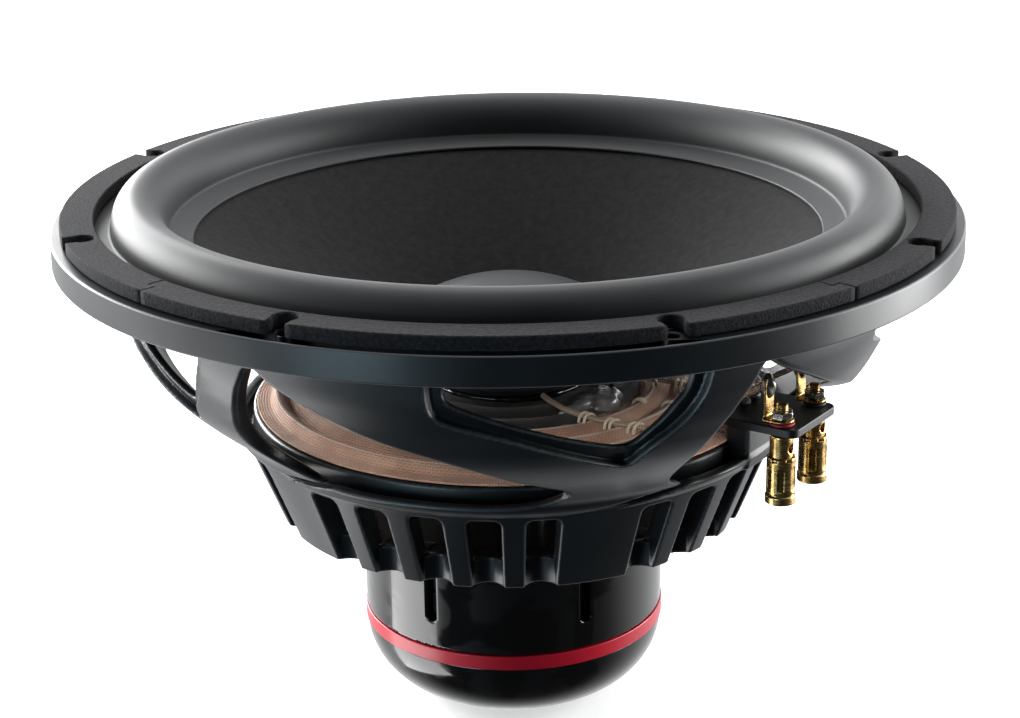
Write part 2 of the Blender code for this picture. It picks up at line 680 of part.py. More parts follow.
def main():
    clear_scene()
    make_basket()
    for index in range(GASKET_SEGMENTS):
        make_gasket_segment(index)
    make_surround()
    make_cone()
    make_dust_cap()
    former = tube_profile(COIL_INNER_R, COIL_INNER_R + 0.5, -54.0, -124.3)
    lathe("voice_coil_former", former, "fibre", FEW_STEPS)
    winding = tube_profile(COIL_INNER_R + 0.8, COIL_INNER_R + 2.1, -95.3, -123.3)
    lathe("voice_coil_winding", winding, "copper", FEW_STEPS)
    make_spider()
    for number, side in ((1, -1), (2, 1)):
        make_tube(f"tinsel_lead_{number}", smooth_route(lead_route(side), 2), LEAD_RADIUS, "braid", 1)
    make_motor()
    make_motor_screws()
    make_board()
    for number, side in ((1, -1), (2, 1)):
        make_terminal(number, side)


main()
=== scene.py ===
import math

import bpy
import numpy as np
from mathutils import Matrix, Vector
from mathutils.geometry import tessellate_polygon


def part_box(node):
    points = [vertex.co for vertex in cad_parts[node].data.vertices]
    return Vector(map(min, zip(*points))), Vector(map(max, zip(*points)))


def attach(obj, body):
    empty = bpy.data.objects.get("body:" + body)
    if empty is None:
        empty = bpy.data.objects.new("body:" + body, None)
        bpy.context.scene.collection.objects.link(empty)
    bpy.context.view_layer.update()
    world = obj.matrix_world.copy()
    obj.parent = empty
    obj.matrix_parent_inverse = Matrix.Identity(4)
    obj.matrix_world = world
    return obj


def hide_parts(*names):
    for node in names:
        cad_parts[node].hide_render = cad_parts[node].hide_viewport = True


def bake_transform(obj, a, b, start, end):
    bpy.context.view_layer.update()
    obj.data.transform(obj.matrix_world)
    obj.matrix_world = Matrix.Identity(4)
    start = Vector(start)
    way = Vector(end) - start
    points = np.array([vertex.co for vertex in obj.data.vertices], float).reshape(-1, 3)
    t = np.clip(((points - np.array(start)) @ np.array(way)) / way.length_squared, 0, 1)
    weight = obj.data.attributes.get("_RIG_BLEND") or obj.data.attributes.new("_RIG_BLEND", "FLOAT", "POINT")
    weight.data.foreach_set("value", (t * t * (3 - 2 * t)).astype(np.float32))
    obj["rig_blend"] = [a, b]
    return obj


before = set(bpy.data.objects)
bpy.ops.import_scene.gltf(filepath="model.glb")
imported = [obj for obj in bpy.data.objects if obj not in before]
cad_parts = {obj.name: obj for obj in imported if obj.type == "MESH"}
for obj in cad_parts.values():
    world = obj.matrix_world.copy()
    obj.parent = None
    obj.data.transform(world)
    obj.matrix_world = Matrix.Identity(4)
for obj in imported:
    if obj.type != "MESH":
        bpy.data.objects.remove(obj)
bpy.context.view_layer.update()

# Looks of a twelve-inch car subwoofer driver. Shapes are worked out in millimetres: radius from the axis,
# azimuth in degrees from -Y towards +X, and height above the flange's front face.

MM = 0.001
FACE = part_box("basket")[1].z / MM  # height of the flange's front face
FLANGE_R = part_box("basket")[1].x / MM
SPOKES = 5
SPOKE_AZIMUTH = 18.3  # middle of the first V-shaped spoke
SECTOR = 360.0 / SPOKES
TERMINAL_AZIMUTH = 55.5
POST_R = 117.0
POST_SPREAD = 11.5
BOARD_TOP = -55.0


# ---------------------------------------------------------------- meshes

def on_axis(r, azimuth, z):
    """Points at a radius, azimuth and height, as rows of x, y and z."""
    a = np.radians(azimuth)
    return np.stack(np.broadcast_arrays(r * np.sin(a), -r * np.cos(a), z), -1)


def unit(v):
    """Each row divided by its length."""
    return v / np.maximum(np.linalg.norm(v, axis=-1, keepdims=True), 1e-12)


def skin(points, closed_rows=False, normals=None):
    """Shell through a grid of points whose columns wrap round. A row whose points all meet is a pole. Normals
    are the cross product of the two directions of the grid, unless they are given."""
    rows, columns = points.shape[:2]
    pole = np.ptp(points, axis=1).max(-1) < 1e-9
    if normals is None:
        across = np.roll(points, -1, 1) - np.roll(points, 1, 1)
        if closed_rows:
            down = np.roll(points, -1, 0) - np.roll(points, 1, 0)
        else:
            down = np.gradient(points, axis=0)
        normals = unit(np.cross(across, down))
        for row in np.nonzero(pole)[0]:
            near = normals[1] if row == 0 else normals[row - 1]
            normals[row] = unit(near.mean(0))
    ids = np.arange(rows * columns).reshape(rows, columns)
    ids[pole] = ids[pole, :1]
    used, ids = np.unique(ids, return_inverse=True)
    ids = ids.reshape(rows, columns)
    length = np.linalg.norm(np.diff(points, axis=0), axis=-1).mean(1)
    v = np.concatenate([[0.0], np.cumsum(length)]) * MM
    girth = np.linalg.norm(np.roll(points, -1, 1) - points, axis=-1).sum(1).max() * MM
    u = np.linspace(0.0, girth, columns + 1)
    first = np.arange(rows if closed_rows else rows - 1)
    second = (first + 1) % rows
    v_next = np.append(v, v[-1] + length.mean() * MM)[first + 1]
    j, k = np.arange(columns), (np.arange(columns) + 1) % columns
    corner = [(ids[first][:, j], u[:-1], v[first]), (ids[first][:, k], u[1:], v[first]),
              (ids[second][:, k], u[1:], v_next), (ids[second][:, j], u[:-1], v_next)]
    face = np.stack([c[0] for c in corner], -1)
    uv = np.stack([np.stack(np.broadcast_arrays(c[1][None, :], c[2][:, None]), -1) for c in corner], -2)
    start, end = pole[first], pole[second]
    plain = ~(start | end)
    faces = [(face[plain].reshape(-1, 4), uv[plain].reshape(-1, 4, 2))]
    for which, keep in ((start, [0, 2, 3]), (end, [0, 1, 2])):
        if which.any():
            faces.append((face[which][..., keep].reshape(-1, 3), uv[which][..., keep, :].reshape(-1, 3, 2)))
    return {"co": points.reshape(-1, 3)[used], "normals": normals.reshape(-1, 3)[used], "faces": faces}


def rounded(corners, closed=True, steps=4):
    """Profile whose corners (radius, height, rounding) are arcs: centre plus rounding times the normal, which
    turns evenly from one side's normal to the next. Runs with the outside on its right hand."""
    c = np.array(corners, float)
    points, normals = [], []
    for i in range(len(c)):
        if not closed and i in (0, len(c) - 1):
            points.append(c[i:i + 1, :2])
            normals.append(np.array([[0.0, 1.0 if i else -1.0]]) if c[i, 0] < 1e-6 else np.zeros((1, 2)))
            continue
        before, here, after = c[i - 1, :2], c[i, :2], c[(i + 1) % len(c), :2]
        u, v = unit(before - here), unit(after - here)
        half = 0.5 * math.acos(np.clip(u @ v, -1.0, 1.0))
        room = 0.48 * min(np.linalg.norm(before - here), np.linalg.norm(after - here))
        radius = min(c[i, 2], room * math.tan(half))
        n0, n1 = np.array([-u[1], u[0]]), np.array([v[1], -v[0]])
        side = 1.0 if n0[0] * n1[1] - n0[1] * n1[0] > 0 else -1.0
        centre = here + unit(u + v) * radius / math.sin(half)
        a = math.atan2(n0[1], n0[0])
        turn = (math.atan2(n1[1], n1[0]) - a + math.pi) % (2 * math.pi) - math.pi
        angles = a + turn * np.linspace(0.0, 1.0, steps + 1)
        normal = np.stack([np.cos(angles), np.sin(angles)], -1)
        points.append(centre + side * radius * normal)
        normals.append(normal)
    points, normals = np.concatenate(points), np.concatenate(normals)
    for i in (0, len(points) - 1):
        if not normals[i].any():
            t = unit(points[1] - points[0]) if i == 0 else unit(points[-1] - points[-2])
            normals[i] = (t[1], -t[0])
    return points, normals


def curve_normals(points):
    """Outward normals of a smooth profile, from the line between each point's neighbours."""
    t = unit(np.gradient(points, axis=0))
    return np.stack([t[:, 1], -t[:, 0]], -1)


def revolve(profile, normals, closed=True, steps=240):
    """Surface of revolution: each point of the profile at every azimuth about the axis."""
    azimuth = np.linspace(0.0, 360.0, steps, endpoint=False)
    points = on_axis(profile[:, None, 0], azimuth[None, :], profile[:, None, 1])
    turned = on_axis(normals[:, None, 0], azimuth[None, :], normals[:, None, 1])
    return skin(points, closed, turned)


def turned_body(corners, steps=240, closed=True, arcs=4):
    """Surface of revolution of a profile with rounded corners."""
    return revolve(*rounded(corners, closed, arcs), closed, steps)


def tube(path, radius, sides=12):
    """Tube: a circle carried along the path on a frame that turns as little as it can, ending in points."""
    path = np.asarray(path, float)
    t = unit(np.gradient(path, axis=0))
    side = unit(np.cross(t[0], [0.31, 0.17, 0.93]))
    frames = []
    for tangent in t:
        side = unit(side - tangent * (side @ tangent))
        frames.append(side)
    u = np.array(frames)
    v = np.cross(t, u)
    radius = np.broadcast_to(radius, (len(path),))[:, None, None]
    turn = np.linspace(0.0, 2 * np.pi, sides, endpoint=False)[None, :, None]
    ring = u[:, None] * np.cos(turn) + v[:, None] * np.sin(turn)
    body = path[:, None] + radius * ring
    ends = [np.repeat(path[i][None, None], sides, 1) for i in (0, -1)]
    inner = [path[i] + (body[i] - path[i]) * 0.6 + s * t[i] * radius[i] * 0.4 for i, s in ((0, -1), (-1, 1))]
    ends = [ends[0] - t[0] * radius[0] * 0.6, ends[1] + t[-1] * radius[-1] * 0.6]
    return skin(np.concatenate([ends[0], inner[0][None], body, inner[1][None], ends[1]]))


def plate(outlines, bottom, top, rim=0.3, steps=3):
    """Flat plate: each outline is carried up the side and drawn in along its own normals round the rims, and
    the two faces are filled flat. The first outline runs anticlockwise and the holes run clockwise."""
    turn = np.radians(np.linspace(-90.0, 0.0, steps + 1))
    turn = np.concatenate([turn, -turn[::-1]])
    height = np.where(np.arange(len(turn)) <= steps, bottom + rim, top - rim) + rim * np.sin(turn)
    shells, caps = [], []
    for outline in outlines:
        p = np.asarray(outline, float)
        edge = np.roll(p, -1, 0) - p
        n = unit(np.stack([edge[:, 1], -edge[:, 0]], -1))
        n = unit(n + np.roll(n, 1, 0))
        ring = p[None] - n[None] * rim * (1 - np.cos(turn))[:, None, None]
        grid = np.concatenate([ring, np.broadcast_to(height[:, None, None], ring.shape[:2] + (1,))], -1)
        flat = n[None] * np.cos(turn)[:, None, None]
        up = np.broadcast_to(np.sin(turn)[:, None, None], ring.shape[:2] + (1,))
        shells.append(skin(grid, False, np.concatenate([flat, up], -1)))
        caps.append(grid)
    for row, up in ((0, -1.0), (-1, 1.0)):
        rims = [grid[row] for grid in caps]
        triangles = np.array(tessellate_polygon([[tuple(q) for q in rim_points] for rim_points in rims]))
        co = np.concatenate(rims)
        a, b, c = (co[triangles[:, i]] for i in range(3))
        wrong = np.cross(b - a, c - a)[:, 2] * up < 0
        triangles[wrong] = triangles[wrong][:, ::-1]
        normals = np.broadcast_to([0.0, 0.0, up], co.shape)
        shells.append({"co": co, "normals": normals, "faces": [(triangles, co[triangles][..., :2] * MM)]})
    return shells


def settled(shells, columns, offset=(0.0, 0.0, 0.0)):
    """Shells moved by a turn, given as the three directions of its axes, and an offset."""
    turn = np.array(columns, float)
    return [{**s, "co": s["co"] @ turn + offset, "normals": s["normals"] @ turn} for s in shells]


def make(name, shells, finish, body, nodes=(), painted_highlight=None):
    """One mesh object from shells in millimetres, which rides on a body and stands for CAD nodes."""
    shells = shells if isinstance(shells, list) else [shells]
    index, sizes, uv, start = [], [], [], 0
    for shell in shells:
        for face, corner in shell["faces"]:
            index.append((face + start).ravel())
            sizes.append(np.full(len(face), face.shape[1]))
            uv.append(corner.reshape(-1, 2))
        start += len(shell["co"])
    co = np.concatenate([s["co"] for s in shells])
    index, sizes = np.concatenate(index), np.concatenate(sizes)
    mesh = bpy.data.meshes.new(name)
    mesh.vertices.add(len(co))
    mesh.vertices.foreach_set("co", ((co + [0.0, 0.0, FACE]) * MM).astype(np.float32).ravel())
    mesh.loops.add(len(index))
    mesh.loops.foreach_set("vertex_index", index.astype(np.int32))
    mesh.polygons.add(len(sizes))
    mesh.polygons.foreach_set("loop_start", (np.cumsum(sizes) - sizes).astype(np.int32))
    mesh.update(calc_edges=True)
    mesh.uv_layers.new(name="UVMap").data.foreach_set("uv", np.concatenate(uv).astype(np.float32).ravel())
    # This vertex attribute marks where the finishes paint a highlight: pale basket edges and cream cloth crests.
    if painted_highlight is not None:
        mesh.attributes.new("painted_highlight", "FLOAT", "POINT").data.foreach_set("value", painted_highlight.astype(np.float32))
    mesh.shade_smooth()
    mesh.normals_split_custom_set_from_vertices(np.concatenate([s["normals"] for s in shells]).tolist())
    mesh.materials.append(finish)
    obj = bpy.data.objects.new(name, mesh)
    bpy.context.collection.objects.link(obj)
    if isinstance(body, str):
        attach(obj, body)
    else:
        first, second, weight = body
        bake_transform(obj, first, second, (0, 0, 0), (0, 0, 1))
        mesh.attributes["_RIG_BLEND"].data.foreach_set("value", weight(co).astype(np.float32))
    if nodes:
        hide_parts(*nodes)
    return obj


# ---------------------------------------------------------------- cast shapes, as fields of distance

def soften(points, rounds=2):
    """Closed outline with its corners cut at a quarter of each side, again and again."""
    p = np.array(points, float)
    for _ in range(rounds):
        after = np.roll(p, -1, 0)
        p = np.stack([0.75 * p + 0.25 * after, 0.25 * p + 0.75 * after], 1).reshape(-1, p.shape[1])
    return p


def outline_distance(outline, x, y):
    """Signed distance to a closed outline, negative inside: the least distance to a side, with the sign of
    how many sides are crossed on the way out."""
    best = np.full(np.shape(x), 1e9)
    inside = np.zeros(np.shape(x), bool)
    for (ax, ay), (bx, by) in zip(outline, np.roll(outline, -1, 0)):
        ex, ey = bx - ax, by - ay
        t = np.clip(((x - ax) * ex + (y - ay) * ey) / max(ex * ex + ey * ey, 1e-12), 0, 1)
        best = np.minimum(best, (x - ax - t * ex) ** 2 + (y - ay - t * ey) ** 2)
        if ay != by:
            inside ^= ((y < ay) != (y < by)) & (x < ax + (y - ay) * ex / ey)
    return np.where(inside, -1.0, 1.0) * np.sqrt(best)


def looked_up(xs, ys, values):
    """Function that reads a table of values at any place, in a straight line between its four neighbours."""
    dx, dy = xs[1] - xs[0], ys[1] - ys[0]

    def read(x, y):
        i = np.clip((x - xs[0]) / dx, 0, len(xs) - 1.001)
        j = np.clip((y - ys[0]) / dy, 0, len(ys) - 1.001)
        a, b = i.astype(int), j.astype(int)
        i, j = i - a, j - b
        low = values[a, b] * (1 - j) + values[a, b + 1] * j
        return low * (1 - i) + (values[a + 1, b] * (1 - j) + values[a + 1, b + 1] * j) * i
    return read


def section(outline, step=0.4):
    """Distance to an outline in the plane of radius and height, as a table read."""
    outline = np.asarray(outline, float)
    xs, ys = np.arange(28.0, 166.0, step), np.arange(-154.0, 4.0, step)
    grid = np.meshgrid(xs, ys, indexing="ij")
    return looked_up(xs, ys, outline_distance(outline, *grid))


def common(a, b, radius):
    """Overlap of two fields, with the edge between them rounded."""
    u, v = np.maximum(radius + a, 0), np.maximum(radius + b, 0)
    return np.minimum(np.maximum(a, b), -radius) + np.hypot(u, v)


def joined(a, b, radius):
    """Both fields together, with a fillet between them."""
    u, v = np.maximum(radius - a, 0), np.maximum(radius - b, 0)
    return np.maximum(np.minimum(a, b), radius) - np.hypot(u, v)


def ease(t):
    """Smooth step from 0 to 1."""
    t = np.clip(t, 0, 1)
    return t * t * (3 - 2 * t)


def slope(field, p, h=0.35):
    """Gradient of a field by differences on both sides, and how sharply it bends there."""
    here = field(*p.T)
    gradient, bend = [], -6 * here
    for axis in np.eye(3) * h:
        ahead, behind = field(*(p + axis).T), field(*(p - axis).T)
        gradient.append((ahead - behind) / (2 * h))
        bend += ahead + behind
    return here, np.stack(gradient, -1), bend / (h * h)


def cast(field, low, high, step, block=4):
    """Skin of a field where it is nought. A coarse grid finds the cells near it, each cell that it crosses gets
    one vertex at the mean of the crossings, the vertices slide down the gradient onto the field, and each grid
    edge that it crosses gets a quad. Normals are the gradient, and the painted highlight follows how sharp the edge is."""
    low, high = np.array(low, float), np.array(high, float)
    count = np.ceil((high - low) / (step * block)).astype(int)
    middle = [low[i] + (np.arange(count[i]) * block + 0.5 * (block - 1)) * step for i in range(3)]
    fine = field(*np.meshgrid(*middle, indexing="ij"))
    for axis in range(3):
        fine = np.repeat(fine, block, axis)
    near = np.nonzero(np.abs(fine) < (block + 3) * step)
    fine[near] = field(*(low[i] + near[i] * step for i in range(3)))
    inside = fine < 0
    corners = [np.array([i, j, k]) for i in (0, 1) for j in (0, 1) for k in (0, 1)]
    size = np.array(fine.shape) - 1
    total = sum(inside[c[0]:c[0] + size[0], c[1]:c[1] + size[1], c[2]:c[2] + size[2]].astype(np.int8)
                for c in corners)
    crossed = (total > 0) & (total < 8)
    cells = np.argwhere(crossed)
    number = np.full(crossed.shape, -1)
    number[crossed] = np.arange(len(cells))
    place, hits = np.zeros((len(cells), 3)), np.zeros(len(cells))
    for a in corners:
        for b in corners:
            if (b - a).sum() != 1 or (b - a).min() < 0:
                continue
            va, vb = fine[tuple((cells + a).T)], fine[tuple((cells + b).T)]
            cut = (va < 0) != (vb < 0)
            t = (va / np.where(cut, va - vb, 1))[:, None]
            place += np.where(cut[:, None], a + t * (b - a), 0)
            hits += cut
    p = low + (cells + place / hits[:, None]) * step
    for _ in range(3):
        value, gradient, _ = slope(field, p)
        move = value[:, None] * gradient / np.maximum((gradient ** 2).sum(-1, keepdims=True), 0.2)
        p -= np.clip(move, -0.4 * step, 0.4 * step)
    gradient, bend = slope(field, p)[1], slope(field, p, 0.9)[2]
    quads = []
    for axis in range(3):
        u, v = (axis + 1) % 3, (axis + 2) % 3
        first = np.take(inside, np.arange(fine.shape[axis] - 1), axis)
        second = np.take(inside, np.arange(1, fine.shape[axis]), axis)
        edges = np.argwhere(first != second)
        edges = edges[(edges[:, u] > 0) & (edges[:, v] > 0) & (edges[:, u] < size[u]) & (edges[:, v] < size[v])]
        ring = []
        for du, dv in ((-1, -1), (0, -1), (0, 0), (-1, 0)):
            cell = edges.copy()
            cell[:, u] += du
            cell[:, v] += dv
            ring.append(number[tuple(cell.T)])
        ring = np.stack(ring, -1)
        out = first[tuple(edges.T)]
        quads.append(np.where(out[:, None], ring, ring[:, ::-1]))
    quads = np.concatenate(quads)
    shell = {"co": p, "normals": unit(gradient), "faces": [(quads, p[quads][..., :2] * MM)]}
    return shell, np.clip((bend - 0.3) / 0.7, 0, 1)


def divided(shell, painted_highlight, axis):
    """The two halves of a cast shell on each side of an axis, as shells with their painted-highlight masks. Each loop
    where they part is closed by a fan of triangles from its middle, out of sight between the halves."""
    co, normals, quads = shell["co"], shell["normals"], shell["faces"][0][0]
    beyond = co[quads][:, :, axis].mean(1) > 0
    halves = []
    for chosen in (beyond, ~beyond):
        used, ids = np.unique(quads[chosen], return_inverse=True)
        ids = ids.reshape(-1, 4)
        n = len(used)
        start, end = ids.ravel(), np.roll(ids, -1, 1).ravel()
        alone = ~np.isin(start * n + end, end * n + start)
        start, end = start[alone], end[alone]
        after, loop = np.arange(n), np.arange(n)
        after[start] = end
        for _ in range(16):
            loop, after = np.minimum(loop, loop[after]), after[after]
        names, which = np.unique(loop[start], return_inverse=True)
        share = np.bincount(which)[:, None]
        middle = np.stack([np.bincount(which, co[used][start, i]) for i in range(3)], -1) / share
        fan = np.stack([n + which, end, start], -1)
        points = np.concatenate([co[used], middle])
        turned = np.concatenate([normals[used], np.tile(np.eye(3)[axis], (len(names), 1))])
        faces = [(ids, points[ids][..., :2] * MM), (fan, points[fan][..., :2] * MM)]
        halves.append(({"co": points, "normals": turned, "faces": faces}, np.append(painted_highlight[used], np.zeros(len(names)))))
    return halves


# ---------------------------------------------------------------- finishes

def srgb(value):
    """Linear colour of an sRGB hex value: divided by 12.92 near black, a power of 2.4 above."""
    c = np.array([int(value[i:i + 2], 16) for i in (1, 3, 5)]) / 255.0
    c = np.where(c <= 0.04045, c / 12.92, ((c + 0.055) / 1.055) ** 2.4)
    return (*c.tolist(), 1.0)


def add(tree, kind, inputs=None, **settings):
    """Adds one node with its settings, and fills or links its inputs by name or number."""
    node = tree.nodes.new(kind)
    for key, value in settings.items():
        setattr(node, key, value)
    for key, value in (inputs or {}).items():
        if isinstance(value, bpy.types.NodeSocket):
            tree.links.new(value, node.inputs[key])
        else:
            node.inputs[key].default_value = value
    return node


def finish(name, colour, roughness, **constants):
    """Material with a Principled shader and its constants; the patterns are added to its tree."""
    material = bpy.data.materials.new(name)
    material.use_nodes = True
    tree = material.node_tree
    shader = tree.nodes["Principled BSDF"]
    shader.inputs["Base Color"].default_value = srgb(colour)
    shader.inputs["Roughness"].default_value = roughness
    for key, value in constants.items():
        shader.inputs[key.replace("_", " ")].default_value = value
    return material, tree, shader.inputs


def every(size):
    """Scale of a pattern whose features are size millimetres across."""
    return 1.0 / (size * MM)


def relief(tree, sockets, height, depth, strength=1.0):
    """Bump of a pattern whose full height is depth millimetres."""
    bump = add(tree, "ShaderNodeBump", {"Height": height, "Distance": depth * MM, "Strength": strength})
    tree.links.new(bump.outputs["Normal"], sockets["Normal"])


def cast_coat():
    """Powder-coated cast aluminium: satin black with a slate tint, faint orange peel 1.6 mm across, slow
    changes of gloss 30 mm across, and a painted highlight: a paler line painted on the sharp edges."""
    material, tree, sockets = finish("Powder-coated cast aluminium", "#15191C", 0.36, Coat_Weight=0.12, Coat_Roughness=0.2)
    place = add(tree, "ShaderNodeTexCoord").outputs["Object"]
    cloud = add(tree, "ShaderNodeTexNoise", {"Vector": place, "Scale": every(30), "Detail": 3.0}).outputs["Fac"]
    peel = add(tree, "ShaderNodeTexNoise", {"Vector": place, "Scale": every(1.6), "Detail": 1.0}).outputs["Fac"]
    gloss = add(tree, "ShaderNodeMapRange", {0: cloud, 1: 0.3, 2: 0.7, 3: 0.31, 4: 0.41}).outputs[0]
    tint = add(tree, "ShaderNodeValToRGB", {"Fac": cloud})
    tint.color_ramp.elements[0].color = srgb("#14181B")
    tint.color_ramp.elements[1].color = srgb("#1B2125")
    # Painted highlight: the sharp edges are mixed towards pale grey, as if their rounding caught the light.
    painted_highlight = add(tree, "ShaderNodeAttribute", attribute_name="painted_highlight").outputs["Fac"]
    worn = add(tree, "ShaderNodeMapRange", {0: painted_highlight, 1: 0.3, 2: 1.0, 3: 0.0, 4: 0.28}).outputs[0]
    mix = add(tree, "ShaderNodeMix", {"Factor": worn, "A": tint.outputs["Color"], "B": srgb("#7B8286")},
              data_type="RGBA")
    tree.links.new(mix.outputs["Result"], sockets["Base Color"])
    tree.links.new(gloss, sockets["Roughness"])
    relief(tree, sockets, peel, 0.012)
    return material


def eva_foam():
    """Closed-cell EVA foam, skived: dark grey, dull, with open cells about 0.7 mm across and paler specks."""
    material, tree, sockets = finish("Closed-cell EVA foam", "#1E1E20", 0.9, Sheen_Weight=0.02, Sheen_Roughness=0.5, Specular_IOR_Level=0.22)
    place = add(tree, "ShaderNodeTexCoord").outputs["Object"]
    cells = add(tree, "ShaderNodeTexVoronoi", {"Vector": place, "Scale": every(0.8)}).outputs["Distance"]
    grain = add(tree, "ShaderNodeTexNoise", {"Vector": place, "Scale": every(1.3), "Detail": 4.0,
                                             "Roughness": 0.7}).outputs["Fac"]
    ramp = add(tree, "ShaderNodeValToRGB", {"Fac": grain})
    ramp.color_ramp.elements[0].position = 0.35
    ramp.color_ramp.elements[0].color = srgb("#161618")
    ramp.color_ramp.elements[1].position = 0.68
    ramp.color_ramp.elements[1].color = srgb("#303033")
    tree.links.new(ramp.outputs["Color"], sockets["Base Color"])
    both = add(tree, "ShaderNodeMath", {0: cells, 1: grain}, operation="ADD").outputs[0]
    relief(tree, sockets, both, 0.16)
    return material


def butyl_rubber():
    """Moulded nitrile-butyl rubber: satin black with a grey bloom, nearly smooth, broad soft highlights."""
    material, tree, sockets = finish("Moulded butyl rubber", "#1B1D1F", 0.48, Sheen_Weight=0.12, Sheen_Roughness=0.35)
    place = add(tree, "ShaderNodeTexCoord").outputs["Object"]
    bloom = add(tree, "ShaderNodeTexNoise", {"Vector": place, "Scale": every(45), "Detail": 4.0}).outputs["Fac"]
    skin_grain = add(tree, "ShaderNodeTexNoise", {"Vector": place, "Scale": every(0.9), "Detail": 2.0}).outputs["Fac"]
    ramp = add(tree, "ShaderNodeValToRGB", {"Fac": bloom})
    ramp.color_ramp.elements[0].position = 0.3
    ramp.color_ramp.elements[0].color = srgb("#191B1D")
    ramp.color_ramp.elements[1].position = 0.72
    ramp.color_ramp.elements[1].color = srgb("#24272A")
    tree.links.new(ramp.outputs["Color"], sockets["Base Color"])
    gloss = add(tree, "ShaderNodeMapRange", {0: bloom, 1: 0.3, 2: 0.7, 3: 0.45, 4: 0.53}).outputs[0]
    tree.links.new(gloss, sockets["Roughness"])
    relief(tree, sockets, skin_grain, 0.01)
    return material


def cone_paper():
    """Pressed paper pulp, dyed black: dull, with matted fibres 2 mm long and darker clumps 3 mm across."""
    material, tree, sockets = finish("Pressed paper pulp", "#181717", 0.86, Sheen_Weight=0.04, Sheen_Roughness=0.6, Specular_IOR_Level=0.2)
    place = add(tree, "ShaderNodeTexCoord").outputs["Object"]
    clumps = add(tree, "ShaderNodeTexNoise", {"Vector": place, "Scale": every(3), "Detail": 5.0,
                                              "Roughness": 0.65}).outputs["Fac"]
    fibres = add(tree, "ShaderNodeTexNoise", {"Vector": place, "Scale": every(1.6), "Detail": 3.0,
                                              "Distortion": 2.5}).outputs["Fac"]
    ramp = add(tree, "ShaderNodeValToRGB", {"Fac": clumps})
    ramp.color_ramp.elements[0].position = 0.32
    ramp.color_ramp.elements[0].color = srgb("#111111")
    ramp.color_ramp.elements[1].position = 0.7
    ramp.color_ramp.elements[1].color = srgb("#262424")
    tree.links.new(ramp.outputs["Color"], sockets["Base Color"])
    both = add(tree, "ShaderNodeMath", {0: clumps, 1: fibres}, operation="ADD").outputs[0]
    relief(tree, sockets, both, 0.14)
    return material


def dome_coat():
    """Pressed pulp dome under a sprayed satin coat: even dark grey, with the fibres just felt through it."""
    material, tree, sockets = finish("Coated pulp dome", "#26282B", 0.46)
    place = add(tree, "ShaderNodeTexCoord").outputs["Object"]
    fibres = add(tree, "ShaderNodeTexNoise", {"Vector": place, "Scale": every(2.2), "Detail": 4.0,
                                              "Distortion": 1.5}).outputs["Fac"]
    ramp = add(tree, "ShaderNodeValToRGB", {"Fac": fibres})
    ramp.color_ramp.elements[0].color = srgb("#222427")
    ramp.color_ramp.elements[1].color = srgb("#2D3033")
    tree.links.new(ramp.outputs["Color"], sockets["Base Color"])
    relief(tree, sockets, fibres, 0.03)
    return material


